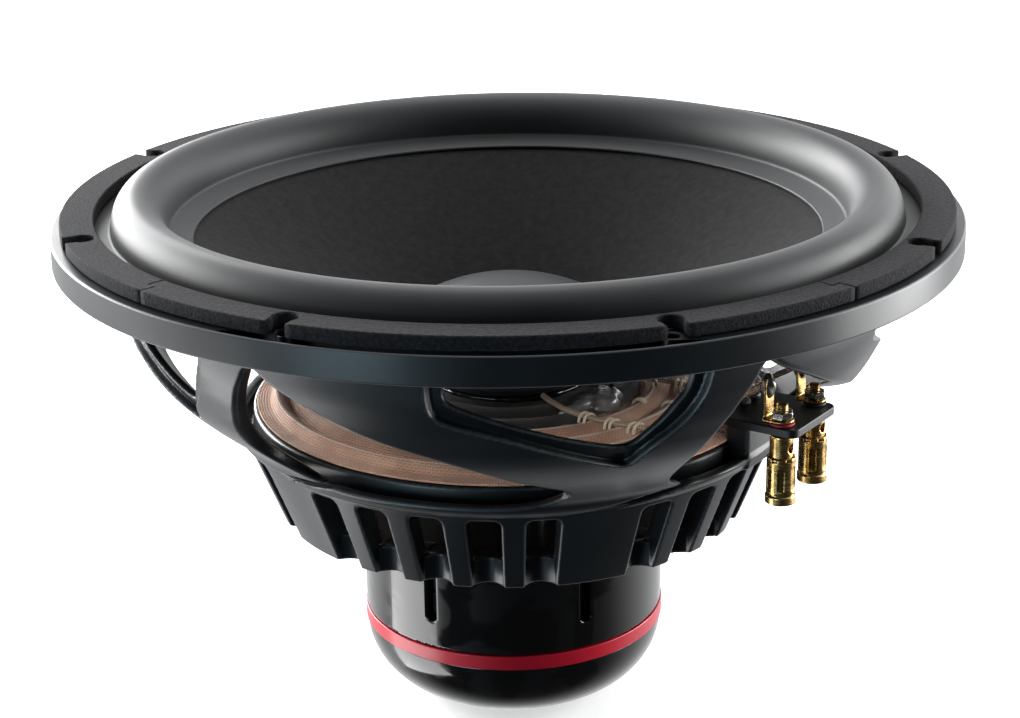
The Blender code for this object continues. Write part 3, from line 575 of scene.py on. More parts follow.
def spider_cloth():
    """Cotton and aramid cloth dipped in resin: brown threads 0.9 mm apart that pass over and under each other,
    with a cream highlight painted on the upward-facing crests of the corrugations, which a vertex attribute
    carries, and painted shade under the cone: near black inside a wandering edge about 48 mm from the axis."""
    material, tree, sockets = finish("Resin-dipped woven cloth", "#C9A58F", 0.8, Sheen_Weight=0.2, Sheen_Roughness=0.5)
    place = add(tree, "ShaderNodeUVMap", uv_map="UVMap").outputs["UV"]
    stretched = add(tree, "ShaderNodeVectorMath", {0: place, 1: (every(0.95), every(0.95), 1.0)},
                    operation="MULTIPLY").outputs[0]
    threads = add(tree, "ShaderNodeTexChecker", {"Vector": stretched, "Scale": 1.0}).outputs["Fac"]
    apart = add(tree, "ShaderNodeSeparateXYZ", {0: stretched})
    arches = []
    for axis in ("X", "Y"):
        turn = add(tree, "ShaderNodeMath", {0: apart.outputs[axis], 1: math.pi}, operation="MULTIPLY").outputs[0]
        wave = add(tree, "ShaderNodeMath", {0: turn}, operation="SINE").outputs[0]
        arches.append(add(tree, "ShaderNodeMath", {0: wave}, operation="ABSOLUTE").outputs[0])
    weave = add(tree, "ShaderNodeMix", {"Factor": threads, "A": arches[0], "B": arches[1]}).outputs["Result"]
    place = add(tree, "ShaderNodeTexCoord").outputs["Object"]
    stain = add(tree, "ShaderNodeTexNoise", {"Vector": place, "Scale": every(14), "Detail": 4.0}).outputs["Fac"]
    base = add(tree, "ShaderNodeValToRGB", {"Fac": stain})
    base.color_ramp.elements[0].position = 0.3
    base.color_ramp.elements[0].color = srgb("#A27B65")
    base.color_ramp.elements[1].position = 0.7
    base.color_ramp.elements[1].color = srgb("#C8A38B")
    gaps = add(tree, "ShaderNodeMapRange", {0: weave, 1: 0.0, 2: 0.8, 3: 0.35, 4: 1.0}).outputs[0]
    shaded = add(tree, "ShaderNodeMix", {"Factor": gaps, "A": srgb("#7A5140"), "B": base.outputs["Color"]},
                 data_type="RGBA").outputs["Result"]
    # Painted highlight: cream mixed in on the upward-facing crests, where the light falls.
    painted_highlight = add(tree, "ShaderNodeAttribute", attribute_name="painted_highlight").outputs["Fac"]
    worn = add(tree, "ShaderNodeMath", {0: painted_highlight, 1: weave}, operation="MULTIPLY").outputs[0]
    colour = add(tree, "ShaderNodeMix", {"Factor": worn, "A": shaded, "B": srgb("#FFF6E8")}, data_type="RGBA")
    # Painted shade under the cone: near black inside a wandering edge about 48 mm from the axis.
    flat = add(tree, "ShaderNodeVectorMath", {0: place, 1: (1.0, 1.0, 0.0)}, operation="MULTIPLY").outputs[0]
    radius = add(tree, "ShaderNodeVectorMath", {0: flat}, operation="LENGTH").outputs["Value"]
    wander = add(tree, "ShaderNodeMath", {0: stain, 1: 5 * MM, 2: radius}, operation="MULTIPLY_ADD").outputs[0]
    outside_painted_shade = add(tree, "ShaderNodeMapRange", {0: wander, 1: 49.5 * MM, 2: 50.5 * MM, 3: 0.0, 4: 1.0}).outputs[0]
    painted_shade_under_cone = add(tree, "ShaderNodeMix", {"Factor": outside_painted_shade, "A": srgb("#0D0C0C"), "B": colour.outputs["Result"]},
                 data_type="RGBA")
    tree.links.new(painted_shade_under_cone.outputs["Result"], sockets["Base Color"])
    relief(tree, sockets, weave, 0.22)
    return material


def braid(name, colour, dark, metallic, roughness, lay):
    """Braided strand: two sets of turns that cross, lay millimetres apart along the strand."""
    material, tree, sockets = finish(name, colour, roughness, Metallic=metallic)
    place = add(tree, "ShaderNodeUVMap", uv_map="UVMap").outputs["UV"]
    apart = add(tree, "ShaderNodeSeparateXYZ", {0: place})
    waves = []
    for sign in (1.0, -1.0):
        slant = add(tree, "ShaderNodeMath", {0: apart.outputs["X"], 1: sign}, operation="MULTIPLY").outputs[0]
        along = add(tree, "ShaderNodeMath", {0: slant, 1: apart.outputs["Y"]}, operation="ADD").outputs[0]
        turn = add(tree, "ShaderNodeMath", {0: along, 1: every(lay) * math.pi}, operation="MULTIPLY").outputs[0]
        waves.append(add(tree, "ShaderNodeMath", {0: turn}, operation="SINE").outputs[0])
    cross = add(tree, "ShaderNodeMath", {0: waves[0], 1: waves[1]}, operation="MULTIPLY").outputs[0]
    height = add(tree, "ShaderNodeMapRange", {0: cross, 1: -1.0, 2: 1.0, 3: 0.0, 4: 1.0}).outputs[0]
    ramp = add(tree, "ShaderNodeValToRGB", {"Fac": height})
    ramp.color_ramp.elements[0].color = srgb(dark)
    ramp.color_ramp.elements[1].color = srgb(colour)
    tree.links.new(ramp.outputs["Color"], sockets["Base Color"])
    relief(tree, sockets, height, 0.15)
    return material


def gloss_shell():
    """Black ABS cover, injection moulded and polished: deep gloss, with faint hazy swirls 18 mm across left
    by wiping and the slow waves of a moulded wall."""
    material, tree, sockets = finish("Polished black ABS", "#0C0C0D", 0.14, Coat_Weight=0.6, Coat_Roughness=0.05)
    place = add(tree, "ShaderNodeTexCoord").outputs["Object"]
    swirl = add(tree, "ShaderNodeTexNoise", {"Vector": place, "Scale": every(26), "Detail": 2.0,
                                             "Distortion": 1.6}).outputs["Fac"]
    line = add(tree, "ShaderNodeMapRange", {0: swirl, 1: 0.44, 2: 0.52, 3: 0.12, 4: 0.24},
               interpolation_type="SMOOTHSTEP").outputs[0]
    tree.links.new(line, sockets["Roughness"])
    tint = add(tree, "ShaderNodeValToRGB", {"Fac": swirl})
    tint.color_ramp.elements[0].position = 0.42
    tint.color_ramp.elements[0].color = srgb("#0B0B0C")
    tint.color_ramp.elements[1].position = 0.55
    tint.color_ramp.elements[1].color = srgb("#121213")
    tree.links.new(tint.outputs["Color"], sockets["Base Color"])
    wave = add(tree, "ShaderNodeTexNoise", {"Vector": place, "Scale": every(40), "Detail": 0.0}).outputs["Fac"]
    relief(tree, sockets, wave, 0.25)
    return material


def turned_metal(name, colour, dark, roughness, groove, depth=0.006):
    """Metal turned on a lathe: fine rings groove millimetres apart up the height, and small tarnished clouds."""
    material, tree, sockets = finish(name, colour, roughness, Metallic=1.0)
    place = add(tree, "ShaderNodeTexCoord").outputs["Object"]
    rings = add(tree, "ShaderNodeMapping", {"Vector": place, "Scale": (every(6), every(6), every(groove))})
    lines = add(tree, "ShaderNodeTexNoise", {"Vector": rings.outputs[0], "Scale": 1.0, "Detail": 2.0}).outputs["Fac"]
    cloud = add(tree, "ShaderNodeTexNoise", {"Vector": place, "Scale": every(3), "Detail": 3.0}).outputs["Fac"]
    ramp = add(tree, "ShaderNodeValToRGB", {"Fac": cloud})
    ramp.color_ramp.elements[0].position = 0.3
    ramp.color_ramp.elements[0].color = srgb(dark)
    ramp.color_ramp.elements[1].position = 0.6
    ramp.color_ramp.elements[1].color = srgb(colour)
    tree.links.new(ramp.outputs["Color"], sockets["Base Color"])
    worn = add(tree, "ShaderNodeMapRange", {0: lines, 1: 0.3, 2: 0.7, 3: roughness * 0.75,
                                            4: roughness * 1.35}).outputs[0]
    tree.links.new(worn, sockets["Roughness"])
    relief(tree, sockets, lines, depth)
    return material


def speckled(name, colour, pale, roughness, size, depth, **constants):
    """Dull or satin solid with grains of another shade, size millimetres across."""
    material, tree, sockets = finish(name, colour, roughness, **constants)
    place = add(tree, "ShaderNodeTexCoord").outputs["Object"]
    grain = add(tree, "ShaderNodeTexNoise", {"Vector": place, "Scale": every(size), "Detail": 4.0,
                                             "Roughness": 0.6}).outputs["Fac"]
    ramp = add(tree, "ShaderNodeValToRGB", {"Fac": grain})
    ramp.color_ramp.elements[0].position = 0.35
    ramp.color_ramp.elements[0].color = srgb(colour)
    ramp.color_ramp.elements[1].position = 0.7
    ramp.color_ramp.elements[1].color = srgb(pale)
    tree.links.new(ramp.outputs["Color"], sockets["Base Color"])
    relief(tree, sockets, grain, depth)
    return material


coat = cast_coat()
foam = eva_foam()
rubber = butyl_rubber()
pulp = cone_paper()
dome = dome_coat()
cloth = spider_cloth()
abs_gloss = gloss_shell()
silver_braid = braid("Tinned copper braid", "#C9B39E", "#7D6A5A", 0.2, 0.5, 0.9)
cotton = braid("Waxed cotton thread", "#F0E6D2", "#C4B498", 0.0, 0.7, 0.6)
magnet_wire = turned_metal("Enamelled copper wire", "#C06A35", "#8A4522", 0.3, 0.5)
gold = turned_metal("Gold-plated brass", "#E6C483", "#A88345", 0.27, 0.35)
nickel = turned_metal("Bright nickel plate", "#D9D7D0", "#A19D95", 0.22, 0.4)
plated_steel = turned_metal("Zinc-plated steel", "#A9ABAD", "#6F7274", 0.36, 0.8)
copper = turned_metal("Turned copper", "#D0855A", "#9A5533", 0.3, 0.4)
solder = turned_metal("Tin solder", "#B9B9B4", "#77776F", 0.34, 1.5, 0.05)
# Lacquered aluminium ring: a metal under red lacquer reads as satin paint, so it has no bare metal in it.
red_lacquer = speckled("Red lacquered aluminium", "#B8122B", "#C4172F", 0.34, 0.5, 0.004, Coat_Weight=0.3, Coat_Roughness=0.18)
ferrite = speckled("Sintered ferrite", "#26272A", "#3A3B3E", 0.72, 0.9, 0.05)
laminate = speckled("Black glass-filled board", "#111213", "#1C1D1F", 0.42, 0.7, 0.02)
insulator = speckled("Red fibre washer", "#A5122B", "#C22A40", 0.5, 0.6, 0.02)
black_washer = speckled("Black fibre washer", "#141415", "#222224", 0.5, 0.6, 0.02)
glue = speckled("Black contact adhesive", "#0C0C0C", "#1A1918", 0.2, 5.0, 0.3, Coat_Weight=0.5, Coat_Roughness=0.12)
epoxy = speckled("Grey filled epoxy", "#5E5F5E", "#7D7E7C", 0.22, 3.0, 0.2, Coat_Weight=0.6, Coat_Roughness=0.1)
polyimide = speckled("Polyimide and glass former", "#2A1D12", "#3B2A1A", 0.4, 1.4, 0.02)
pale_floor = speckled("Matt white floor", "#F1F1F0", "#F4F4F3", 0.9, 40, 0.01, Emission_Strength=0.55)


# ---------------------------------------------------------------- basket

def flange_rings():
    """Flange as two flat rings: the outer one carries eight screw holes, the inner one is the surround's seat."""
    around = np.radians(np.arange(0.0, 360.0, 1.0))
    circle = np.stack([np.cos(around), np.sin(around)], -1)
    holes = [on_axis(151.0, 18.5 + 45.0 * k, 0.0)[:2] + 2.75 * circle[::-10] for k in range(8)]
    outer = plate([FLANGE_R * circle, 147.0 * circle[::-1], *holes], -10.0, 0.0, 0.7, 4)
    inner = turned_body([(134.5, -9.95, 0.3), (147.6, -9.95, 0.3), (147.6, -1.8, 0.2), (134.5, -1.8, 0.5)], 360)
    # Painted highlight on the rounded rims, where the normal leans between flat and upright.
    painted_highlight = np.concatenate([np.where(np.abs(s["normals"][:, 2]) % 0.999 > 0.15, 0.8, 0.0) for s in [*outer, inner]])
    return [*outer, inner], painted_highlight


WALL = [  # outside of the bowl-shaped wall, from the flange down past the lip
    (60, -8), (143.2, -8), (143.0, -9.8), (141.0, -10.5), (139.9, -12), (139.5, -15), (139.2, -17.6),
    (138.4, -25.6), (136.8, -30.4), (135.2, -35.2), (132.8, -40), (130.4, -44.8), (126.4, -50.4),
    (119.2, -57.6), (110.4, -64.8), (103.8, -70), (101.6, -72.4), (100.9, -74.2), (99.8, -76), (97.2, -78.3),
    (94, -79.4), (60, -79.4),
]
CAVITY = [  # inside of the wall
    (60, -4), (134.9, -4), (134.7, -10), (133.6, -18), (132.3, -25), (129.6, -33), (125.8, -41), (121, -48),
    (114, -55.5), (105.6, -62.8), (99.2, -68.7), (96.9, -71.8), (96.2, -74), (96.2, -84), (60, -84),
]
SPOKE_WINDOW = [  # hole inside a V-shaped spoke: azimuth from its middle, height
    (-24.6, -13.2), (-26.4, -15.4), (-27.0, -18.2), (-27.2, -21.6), (-26.6, -24.6), (-23.6, -27.6), (-19.9, -31.2),
    (-14.8, -35.3), (-10.8, -38.6), (-6.6, -41.4), (-3.6, -43.3), (-1.6, -43.6), (-0.4, -41.8), (0.9, -38.4),
    (2.7, -34), (4.4, -28.4), (5.6, -24.6), (6.4, -18.3), (6.0, -14.6), (3.8, -13.2),
]
POCKET = [  # sunk ledge round that hole
    (-26, -11), (-28.6, -12.6), (-29.4, -16), (-29.4, -22), (-29, -28), (-27.2, -31.4), (-19.9, -36),
    (-13.3, -42.3), (-6.1, -48.4), (-2.6, -51.4), (-0.8, -51), (0.9, -45), (4.5, -38.2), (6.9, -31.4),
    (8.4, -22.7), (8.9, -14), (7, -11),
]
WIDE_WINDOW = [  # hole between this spoke and the one before it
    (-54.2, -18.6), (-52.6, -21.8), (-50.4, -24.9), (-48.3, -27.2), (-45.5, -30.3), (-41.5, -34.7),
    (-37.6, -38.8), (-33.7, -42), (-29.6, -45), (-25.7, -48.3), (-21.7, -52.3), (-17.3, -56.7), (-14.2, -59.5),
    (-10.8, -62.4), (-8.9, -64.6), (-8.5, -67.2), (-10.2, -70), (-14, -72.2), (-20, -73), (-28, -73),
    (-36, -73), (-44, -73), (-51, -73), (-56, -72), (-59.6, -70), (-61.6, -66.5), (-62.9, -62), (-63, -56),
    (-62, -49.5), (-60.8, -43), (-59.4, -37.3), (-58, -30.7), (-56.5, -25.3), (-55.4, -20.4),
]
CREASE = [  # lens-shaped cut between the foot of a spoke and the block under it
    (-11, -78.9), (-8, -78.2), (-3, -76.6), (2, -75.0), (7, -73.4), (12, -72.3), (17, -71.6), (21, -71.2),
    (21, -71.9), (17, -73.2), (12, -74.8), (7, -76.3), (2, -77.7), (-3, -78.6), (-8, -79.1), (-11, -79.2),
]
CONE_SINE = 0.56  # how fast the wall narrows along its slant, so an azimuth turns by this share when laid flat
LAID_TOP = 139.5 / CONE_SINE


def laid_flat(azimuth, z):
    """Place on the wall laid flat as a fan: the slant length from the tip, turned by a share of the azimuth."""
    wall = np.array(WALL[4:-1])
    slant = np.concatenate([[0.0], np.cumsum(np.linalg.norm(np.diff(wall, axis=0), axis=1))])
    s = LAID_TOP - np.interp(-np.asarray(z, float), -wall[:, 1], slant)
    turn = np.radians(azimuth) * CONE_SINE
    return s * np.sin(turn), -s * np.cos(turn)


def wall_table(*outlines):
    """Distance on the wall to the nearest outline of azimuths and heights, as a table read."""
    azimuths, heights = np.arange(-36.4, 36.6, 0.2), np.arange(-82.0, -6.0, 0.4)
    grid = laid_flat(*np.meshgrid(azimuths, heights, indexing="ij"))
    found = []
    for outline in outlines:
        flat = np.stack(laid_flat(*soften(outline).T), -1)
        found.append(outline_distance(flat, *grid))
    return looked_up(azimuths, heights, np.minimum.reduce(found))


outside = section(soften(WALL, 2))
cavity = section(soften(CAVITY, 2))
spoke_hole = wall_table(SPOKE_WINDOW)
pocket = wall_table(POCKET)
next_window = [(a + SECTOR, z) for a, z in WIDE_WINDOW]
wide_hole = wall_table(WIDE_WINDOW, next_window)
crease = wall_table(CREASE)


def board_axes():
    """Directions of the terminal board: away from the axis, across, and up."""
    a = math.radians(TERMINAL_AZIMUTH)
    return [(math.sin(a), -math.cos(a), 0.0), (math.cos(a), math.sin(a), 0.0), (0.0, 0.0, 1.0)]


def arms(x, y, z):
    """Wall of the basket: between its outside and its cavity, less the windows, with a ledge sunk round each
    spoke's window, and the tab for the terminal board added."""
    r = np.hypot(x, y)
    azimuth = np.degrees(np.arctan2(x, -y)) - SPOKE_AZIMUTH
    azimuth = (azimuth + SECTOR / 2) % SECTOR - SECTOR / 2
    sunk = 3.0 * ease(-pocket(azimuth, z) / 2.0)
    wide = wide_hole(azimuth, z)
    body = common(outside(r, z) + sunk, -cavity(r, z), 1.0)
    body = common(body, -wide, 1.5)
    body = common(body, -spoke_hole(azimuth, z), 0.8)
    body = common(body, -np.maximum(crease(azimuth, z), 94.3 - r), 0.4)
    axes = board_axes()
    along, across = x * axes[0][0] + y * axes[0][1], x * axes[1][0] + y * axes[1][1]
    sides = [np.abs(along - 96.2) - 3.4, np.abs(across - 5.75) - 9.05, np.abs(z + 68.0) - 8.7]
    outward = np.sqrt(sum(np.maximum(s, 0) ** 2 for s in sides))
    tab = outward + np.minimum(np.maximum.reduce(sides), 0) - 1.0
    return joined(body, tab, 1.6)


SKIRT = rounded([
    (72.0, -104.0, 0.1), (77.6, -104.0, 0.6), (77.0, -109.0, 1.0), (84.8, -109.0, 1.0), (97.0, -78.3, 0.5),
    (97.4, -76.8, 0.5), (93.2, -76.8, 0.9), (93.2, -69.3, 0.8), (86.6, -69.3, 0.8), (86.6, -81.0, 1.5),
    (80.0, -99.5, 1.5), (72.0, -99.5, 0.1)])[0]
skirt_section = section(SKIRT)
SLOT_CENTRES = (12.1, 24.1, 36.0, 47.9, 59.9)  # after a block's middle
SLOT_TOP = -79.8


def skirt(x, y, z):
    """Skirt under the lip: its section turned round, less the slots between the fingers, whose inner ends are
    scallops in the base plate."""
    r = np.hypot(x, y)
    azimuth = (np.degrees(np.arctan2(x, -y)) - SPOKE_AZIMUTH) % SECTOR
    off = np.min([np.abs(azimuth - centre) for centre in SLOT_CENTRES], axis=0)
    corner = 2.6
    sideways = np.radians(off - 3.5) * r + corner
    upward = z - SLOT_TOP + corner
    slot = np.hypot(np.maximum(sideways, 0), np.maximum(upward, 0)) + np.minimum(np.maximum(sideways, upward), 0)
    scallop = 80.2 + 3.3 * np.minimum((off / 3.5) ** 2, 1.5) - r
    ledge = np.minimum(scallop, -99.45 - z)
    return common(skirt_section(r, z), -np.maximum(slot - corner, ledge), 0.9)


rings, rings_painted_highlight = flange_rings()
make("basket_flange", rings, coat, "frame", ["basket"], rings_painted_highlight)
for k, (shell, sharp) in enumerate(divided(*cast(arms, (-144.0, -144.0, -80.2), (144.0, 144.0, -6.4), 0.84), 0)):
    make(f"basket_arms_{k + 1}", shell, coat, "frame", ["basket"], sharp)
for k, (shell, sharp) in enumerate(divided(*cast(skirt, (-99.0, -99.0, -110.0), (99.0, 99.0, -68.0), 0.8), 0)):
    make(f"basket_skirt_{k + 1}", shell, coat, "frame", ["basket"], sharp)
make("basket_plate", turned_body([(34.0, -103.9, 0.8), (72.6, -103.9, 0.2), (72.6, -99.6, 0.2), (34.0, -99.6, 0.8)]),
     coat, "frame", ["basket"])


# ---------------------------------------------------------------- gasket

def gasket_outline(index):
    """Quarter ring of foam: stepped ends, and keyhole notches round the flange's screws."""
    first = -48.5 + 90.0 * index
    middle, inner, outer, slack = 150.55, 144.6, 156.5, 0.06

    def arc(r, start, end):
        a = np.linspace(start, end, max(2, int(abs(end - start) / 0.8)))
        return on_axis(r, a, 0.0)[:, :2]

    parts = [on_axis(inner, first + slack, 0.0)[None, :2], on_axis(middle - 0.15, first + slack, 0.0)[None, :2],
             on_axis(middle - 0.15, first + 1.4 + slack, 0.0)[None, :2]]
    start = first + 1.4 + slack
    for notch in (first + 22.0, first + 67.0):
        neck = math.degrees(3.4 / outer)
        parts.append(arc(outer, start, notch - neck))
        turn = np.radians(np.linspace(-55.0, -305.0, 22))
        x, y = middle - 0.15 + 4.1 * np.cos(turn), 4.1 * np.sin(turn)
        parts.append(on_axis(np.hypot(x, y), notch + np.degrees(np.arctan2(y, x)), 0.0)[:, :2])
        start = notch + neck
    parts.append(arc(outer, start, first + 91.4 - slack))
    parts.append(on_axis(np.array([middle + 0.15, middle + 0.15]), first + np.array([91.4, 90.0]) - slack, 0.0)[:, :2])
    parts.append(arc(inner, first + 90.0 - slack, first + 0.9))
    return np.concatenate(parts)


for k in range(4):
    make(f"gasket_foam_{k + 1}", plate([gasket_outline(k)], 0.3, 5.0, 0.7, 4), foam, "frame", [f"gasket_segment_{k + 1}"])


# ---------------------------------------------------------------- soft and moving pieces

def evened(points, spacing=0.5, width=3):
    """Line made smooth: points at even spacing along it, each moved to the mean of its neighbours."""
    p = np.array(points, float)
    s = np.concatenate([[0.0], np.cumsum(np.linalg.norm(np.diff(p, axis=0), axis=1))])
    at = np.linspace(0.0, s[-1], int(s[-1] / spacing) + 1)
    p = np.stack([np.interp(at, s, p[:, i]) for i in range(2)], -1)
    for _ in range(width):
        p[1:-1] = 0.25 * p[:-2] + 0.5 * p[1:-1] + 0.25 * p[2:]
    return p


def sheet_profile(line, thickness, pole=False):
    """Section of a sheet whose upper side is a line from its inner to its outer edge: the lower side, a round
    outer edge, the upper side, and a round inner edge unless the sheet closes on the axis."""
    t = unit(np.gradient(line, axis=0))
    up = np.stack([-t[:, 1], t[:, 0]], -1)
    if pole:
        up[0] = (0.0, 1.0)
    lower = line - thickness * up
    turn = np.linspace(0.0, math.pi, 7)[1:-1, None]
    points, normals = [lower], [-up]
    for end, s in ((-1, 1.0), (0, -1.0)):
        if end == 0 and pole:
            points.append(line[::-1])
            normals.append(up[::-1])
            break
        n = -s * up[end] * np.cos(turn) + s * t[end] * np.sin(turn)
        points.append(line[end] - 0.5 * thickness * up[end] + 0.5 * thickness * n)
        normals.append(n)
        if end == -1 and not pole:
            points.append(line[::-1])
            normals.append(up[::-1])
    return np.concatenate(points), np.concatenate(normals)


def follows(inner_r, outer_r):
    """Share of the cone's travel by radius: all of it inside inner_r, none outside outer_r."""
    return lambda co: 1.0 - ease((np.hypot(co[:, 0], co[:, 1]) - inner_r) / (outer_r - inner_r))


def surround():
    """Half roll: an ellipse's upper half between two feet, with the flats that are glued on each side."""
    turn = np.linspace(math.pi, 0.0, 60)
    r = 129.35 + 9.85 * np.cos(turn)
    roll = np.stack([r, -2.9 + 2.7 * (r - 119.5) / 19.7 + 13.2 * np.sin(turn) ** 0.92], -1)
    line = evened([(111.4, -5.4), (116.8, -3.9), *roll, (146.7, -0.1)], 0.45, 3)
    return revolve(*sheet_profile(line, 1.3), True, 288)


make("surround_roll", surround(), rubber, ("frame", "diaphragm", follows(119.6, 139.0)), ["surround"])
cone_line = evened([(27.6, -58.6), (30, -57.0), (111.2, -6.9), (119.2, -4.9)], 1.2, 2)
make("cone_body", revolve(*sheet_profile(cone_line, 1.25), True, 288), pulp, "diaphragm", ["cone"])
make("cone_neck", turned_body([(26.6, -61.8, 0.3), (28.0, -61.8, 0.4), (29.4, -58.4, 0.4), (27.0, -58.0, 0.4)], 120),
     pulp, "diaphragm", ["cone"])
sphere = (48.0 ** 2 + 18.5 ** 2) / (2 * 18.5)
rise = np.linspace(0.0, math.asin(48.0 / sphere), 60)
dome_line = np.stack([sphere * np.sin(rise), -26.5 - sphere + sphere * np.cos(rise)], -1)
make("dust_dome", revolve(*sheet_profile(dome_line, 1.1, True), False, 240), dome, "diaphragm", ["dust_cap"])


def bead(r, z, radius, waves, steps=360, sides=10):
    """Ring of glue: a circle carried round the axis, whose size swells and shrinks by a sum of waves."""
    azimuth = np.linspace(0.0, 2 * np.pi, steps, endpoint=False)
    size = radius * (1 + sum(h * np.sin(n * azimuth + p) for n, h, p in waves))
    turn = np.linspace(0.0, 2 * np.pi, sides, endpoint=False)[:, None]
    return skin(on_axis(r + size * np.cos(turn), np.degrees(azimuth), z + size * np.sin(turn)), True)


GLUE_WAVES = ((5, 0.14, 0.4), (11, 0.1, 1.9), (23, 0.08, 0.7), (41, 0.05, 2.2))
make("dome_glue", bead(48.4, -45.2, 0.75, GLUE_WAVES), glue, "diaphragm", ["dust_cap"])
make("neck_glue", bead(28.6, -62.0, 1.1, GLUE_WAVES), glue, "diaphragm", ["cone"])
make("coil_former", turned_body([(25.5, -124.3, 0.1), (26.0, -124.3, 0.1), (26.0, -54.0, 0.1), (25.5, -54.0, 0.1)], 120),
     polyimide, "diaphragm", ["voice_coil_former"])
turns = np.linspace(-123.2, -95.4, 35 * 6 + 1)
wires = np.stack([27.45 - 0.16 * np.abs(np.sin(np.pi * (turns + 123.2) / 0.794)) ** -0.0 +
                  0.16 * np.abs(np.sin(np.pi * (turns + 123.2) / 0.794)), turns], -1)
coil = np.concatenate([wires, [(26.4, -95.3), (26.4, -123.3)]])
coil_normals = np.concatenate([curve_normals(wires), [(-0.7, 0.7), (-0.7, -0.7)]])
make("coil_winding", revolve(coil, coil_normals, True, 120), magnet_wire, "diaphragm", ["voice_coil_winding"])


def spider():
    """Corrugated cloth: a wave of broad crests and narrow troughs along the radius, with a glued collar at
    the former and a flat rim on the basket's landing."""
    r = np.linspace(31.0, 85.2, 180)
    crest = np.abs(np.cos(math.pi * (r - 32.0) / 10.7)) ** 0.75
    wave = np.stack([r, -68.4 + 4.2 * crest], -1)
    line = evened([(26.9, -62.6), (27.6, -63.4), (28.6, -65.4), *wave, (86.8, -68.25), (91.5, -68.25)], 0.7, 2)
    profile, normals = sheet_profile(line, 0.75)
    shell = revolve(profile, normals, True, 288)
    # Painted highlight mask: the upward-facing crests of the corrugations, where the light falls.
    radius = np.hypot(shell["co"][:, 0], shell["co"][:, 1])
    top = (shell["normals"][:, 2] > 0.6) & (radius < 86)
    phase = np.cos(2 * math.pi * (radius - 32.0) / 10.7)
    return shell, np.where(top, np.clip((phase - 0.9) / 0.1, 0, 1) * 0.9, 0.0)


shell, crests = spider()
make("spider_cloth", shell, cloth, ("frame", "diaphragm", follows(29.5, 86.0)), ["spider"], crests)


def through(stations, per_span=8):
    """Smooth line through the stations, each stretch a cubic that leaves along its neighbours' line."""
    p = np.array([stations[0], *stations, stations[-1]], float)
    t = np.linspace(0.0, 1.0, per_span, endpoint=False)[:, None]
    a, b, c, d = (p[i:len(p) - 3 + i, None] for i in range(4))
    curve = 0.5 * (2 * b + (c - a) * t + (2 * a - 5 * b + 4 * c - d) * t ** 2 + (3 * b - a - 3 * c + d) * t ** 3)
    return np.concatenate([curve.reshape(-1, p.shape[1]), p[-1:]])


LEAD = [  # radius, azimuth away from the terminals, height
    (29.5, 33.0, -61.2), (34.0, 31.5, -61.9), (44.0, 28.5, -62.6), (55.0, 24.5, -62.6), (66.0, 20.0, -62.6),
    (76.0, 15.5, -62.6), (84.0, 11.5, -62.0), (89.5, 9.3, -58.5), (93.5, 8.0, -54.6), (98.0, 7.1, -51.0),
    (103.0, 6.4, -47.4), (107.0, 6.05, -45.0), (110.0, 5.98, -43.0),
]
for k, side in ((1, -1), (2, 1)):
    route = through([on_axis(r, TERMINAL_AZIMUTH + side * a, z) for r, a, z in LEAD])
    make(f"lead_braid_{k}", tube(route, 1.0, 14), silver_braid, ("frame", "diaphragm", follows(29.5, 86.0)),
         [f"tinsel_lead_{k}"])
    loops = []
    for r, a in ((51.5, 25.8), (53.6, 25.0), (61.4, 21.9), (63.2, 21.2), (69.4, 18.6), (71.2, 17.7), (78.0, 14.5)):
        across = np.linspace(-1.0, 1.0, 15)
        height = -64.6 + 3.3 * np.sqrt(np.maximum(1 - across ** 2, 0))
        turn = TERMINAL_AZIMUTH + side * a + np.degrees(2.3 * across / r)
        loops.append(tube(on_axis(r + 0.3 * across, turn, height), 0.55, 8))
    make(f"lead_stitch_{k}", loops, cotton, ("frame", "diaphragm", follows(29.5, 86.0)), [f"tinsel_lead_{k}"])

spare = []
for r, a in ((42.0, 61.0), (52.5, 60.5), (63.0, 62.5), (74.5, 64.0)):
    for shift in (-0.55, 0.55):
        reach = np.linspace(-1.0, 1.0, 15)
        height = -66.0 + 2.3 * np.sqrt(np.maximum(1 - reach ** 2, 0))
        spare.append(tube(on_axis(r + 2.6 * reach, a + np.degrees(shift / r), height), 0.5, 8))
make("spider_stitches", spare, cotton, ("frame", "diaphragm", follows(29.5, 86.0)), ["spider"])


def glue_patch():
    """Smear of adhesive over the spider's first crests where the leads leave: a domed patch in azimuth and
    radius whose height and edge wander by a sum of waves."""
    u, v = np.meshgrid(np.linspace(0.0, 1.0, 40), np.linspace(0.0, 2 * math.pi, 90, endpoint=False), indexing="ij")
    edge = 1 + 0.16 * np.sin(3 * v + 0.5) + 0.1 * np.sin(5 * v + 2.0) + 0.05 * np.sin(11 * v)
    r = 40.0 + 6.0 * u * edge * np.cos(v)
    a = 50.0 + 21.0 * u * edge * np.sin(v)
    lumps = 0.5 * np.sin(0.9 * r + 0.11 * a) * np.sin(0.34 * a + 0.3) + 0.25 * np.sin(1.7 * r) * np.cos(0.8 * a)
    top = -62.6 + 1.5 * np.sqrt(np.maximum(1 - u ** 2, 0)) + lumps * (1 - u ** 3)
    upper = on_axis(r, a, top - 2.4 * u ** 6)
    lower = on_axis(r, a, -66.4 + 0 * top)
    return skin(np.concatenate([lower, upper[::-1]]))


make("lead_glue", glue_patch(), epoxy, ("frame", "diaphragm", follows(29.5, 86.0)), ["spider"])


# ---------------------------------------------------------------- motor

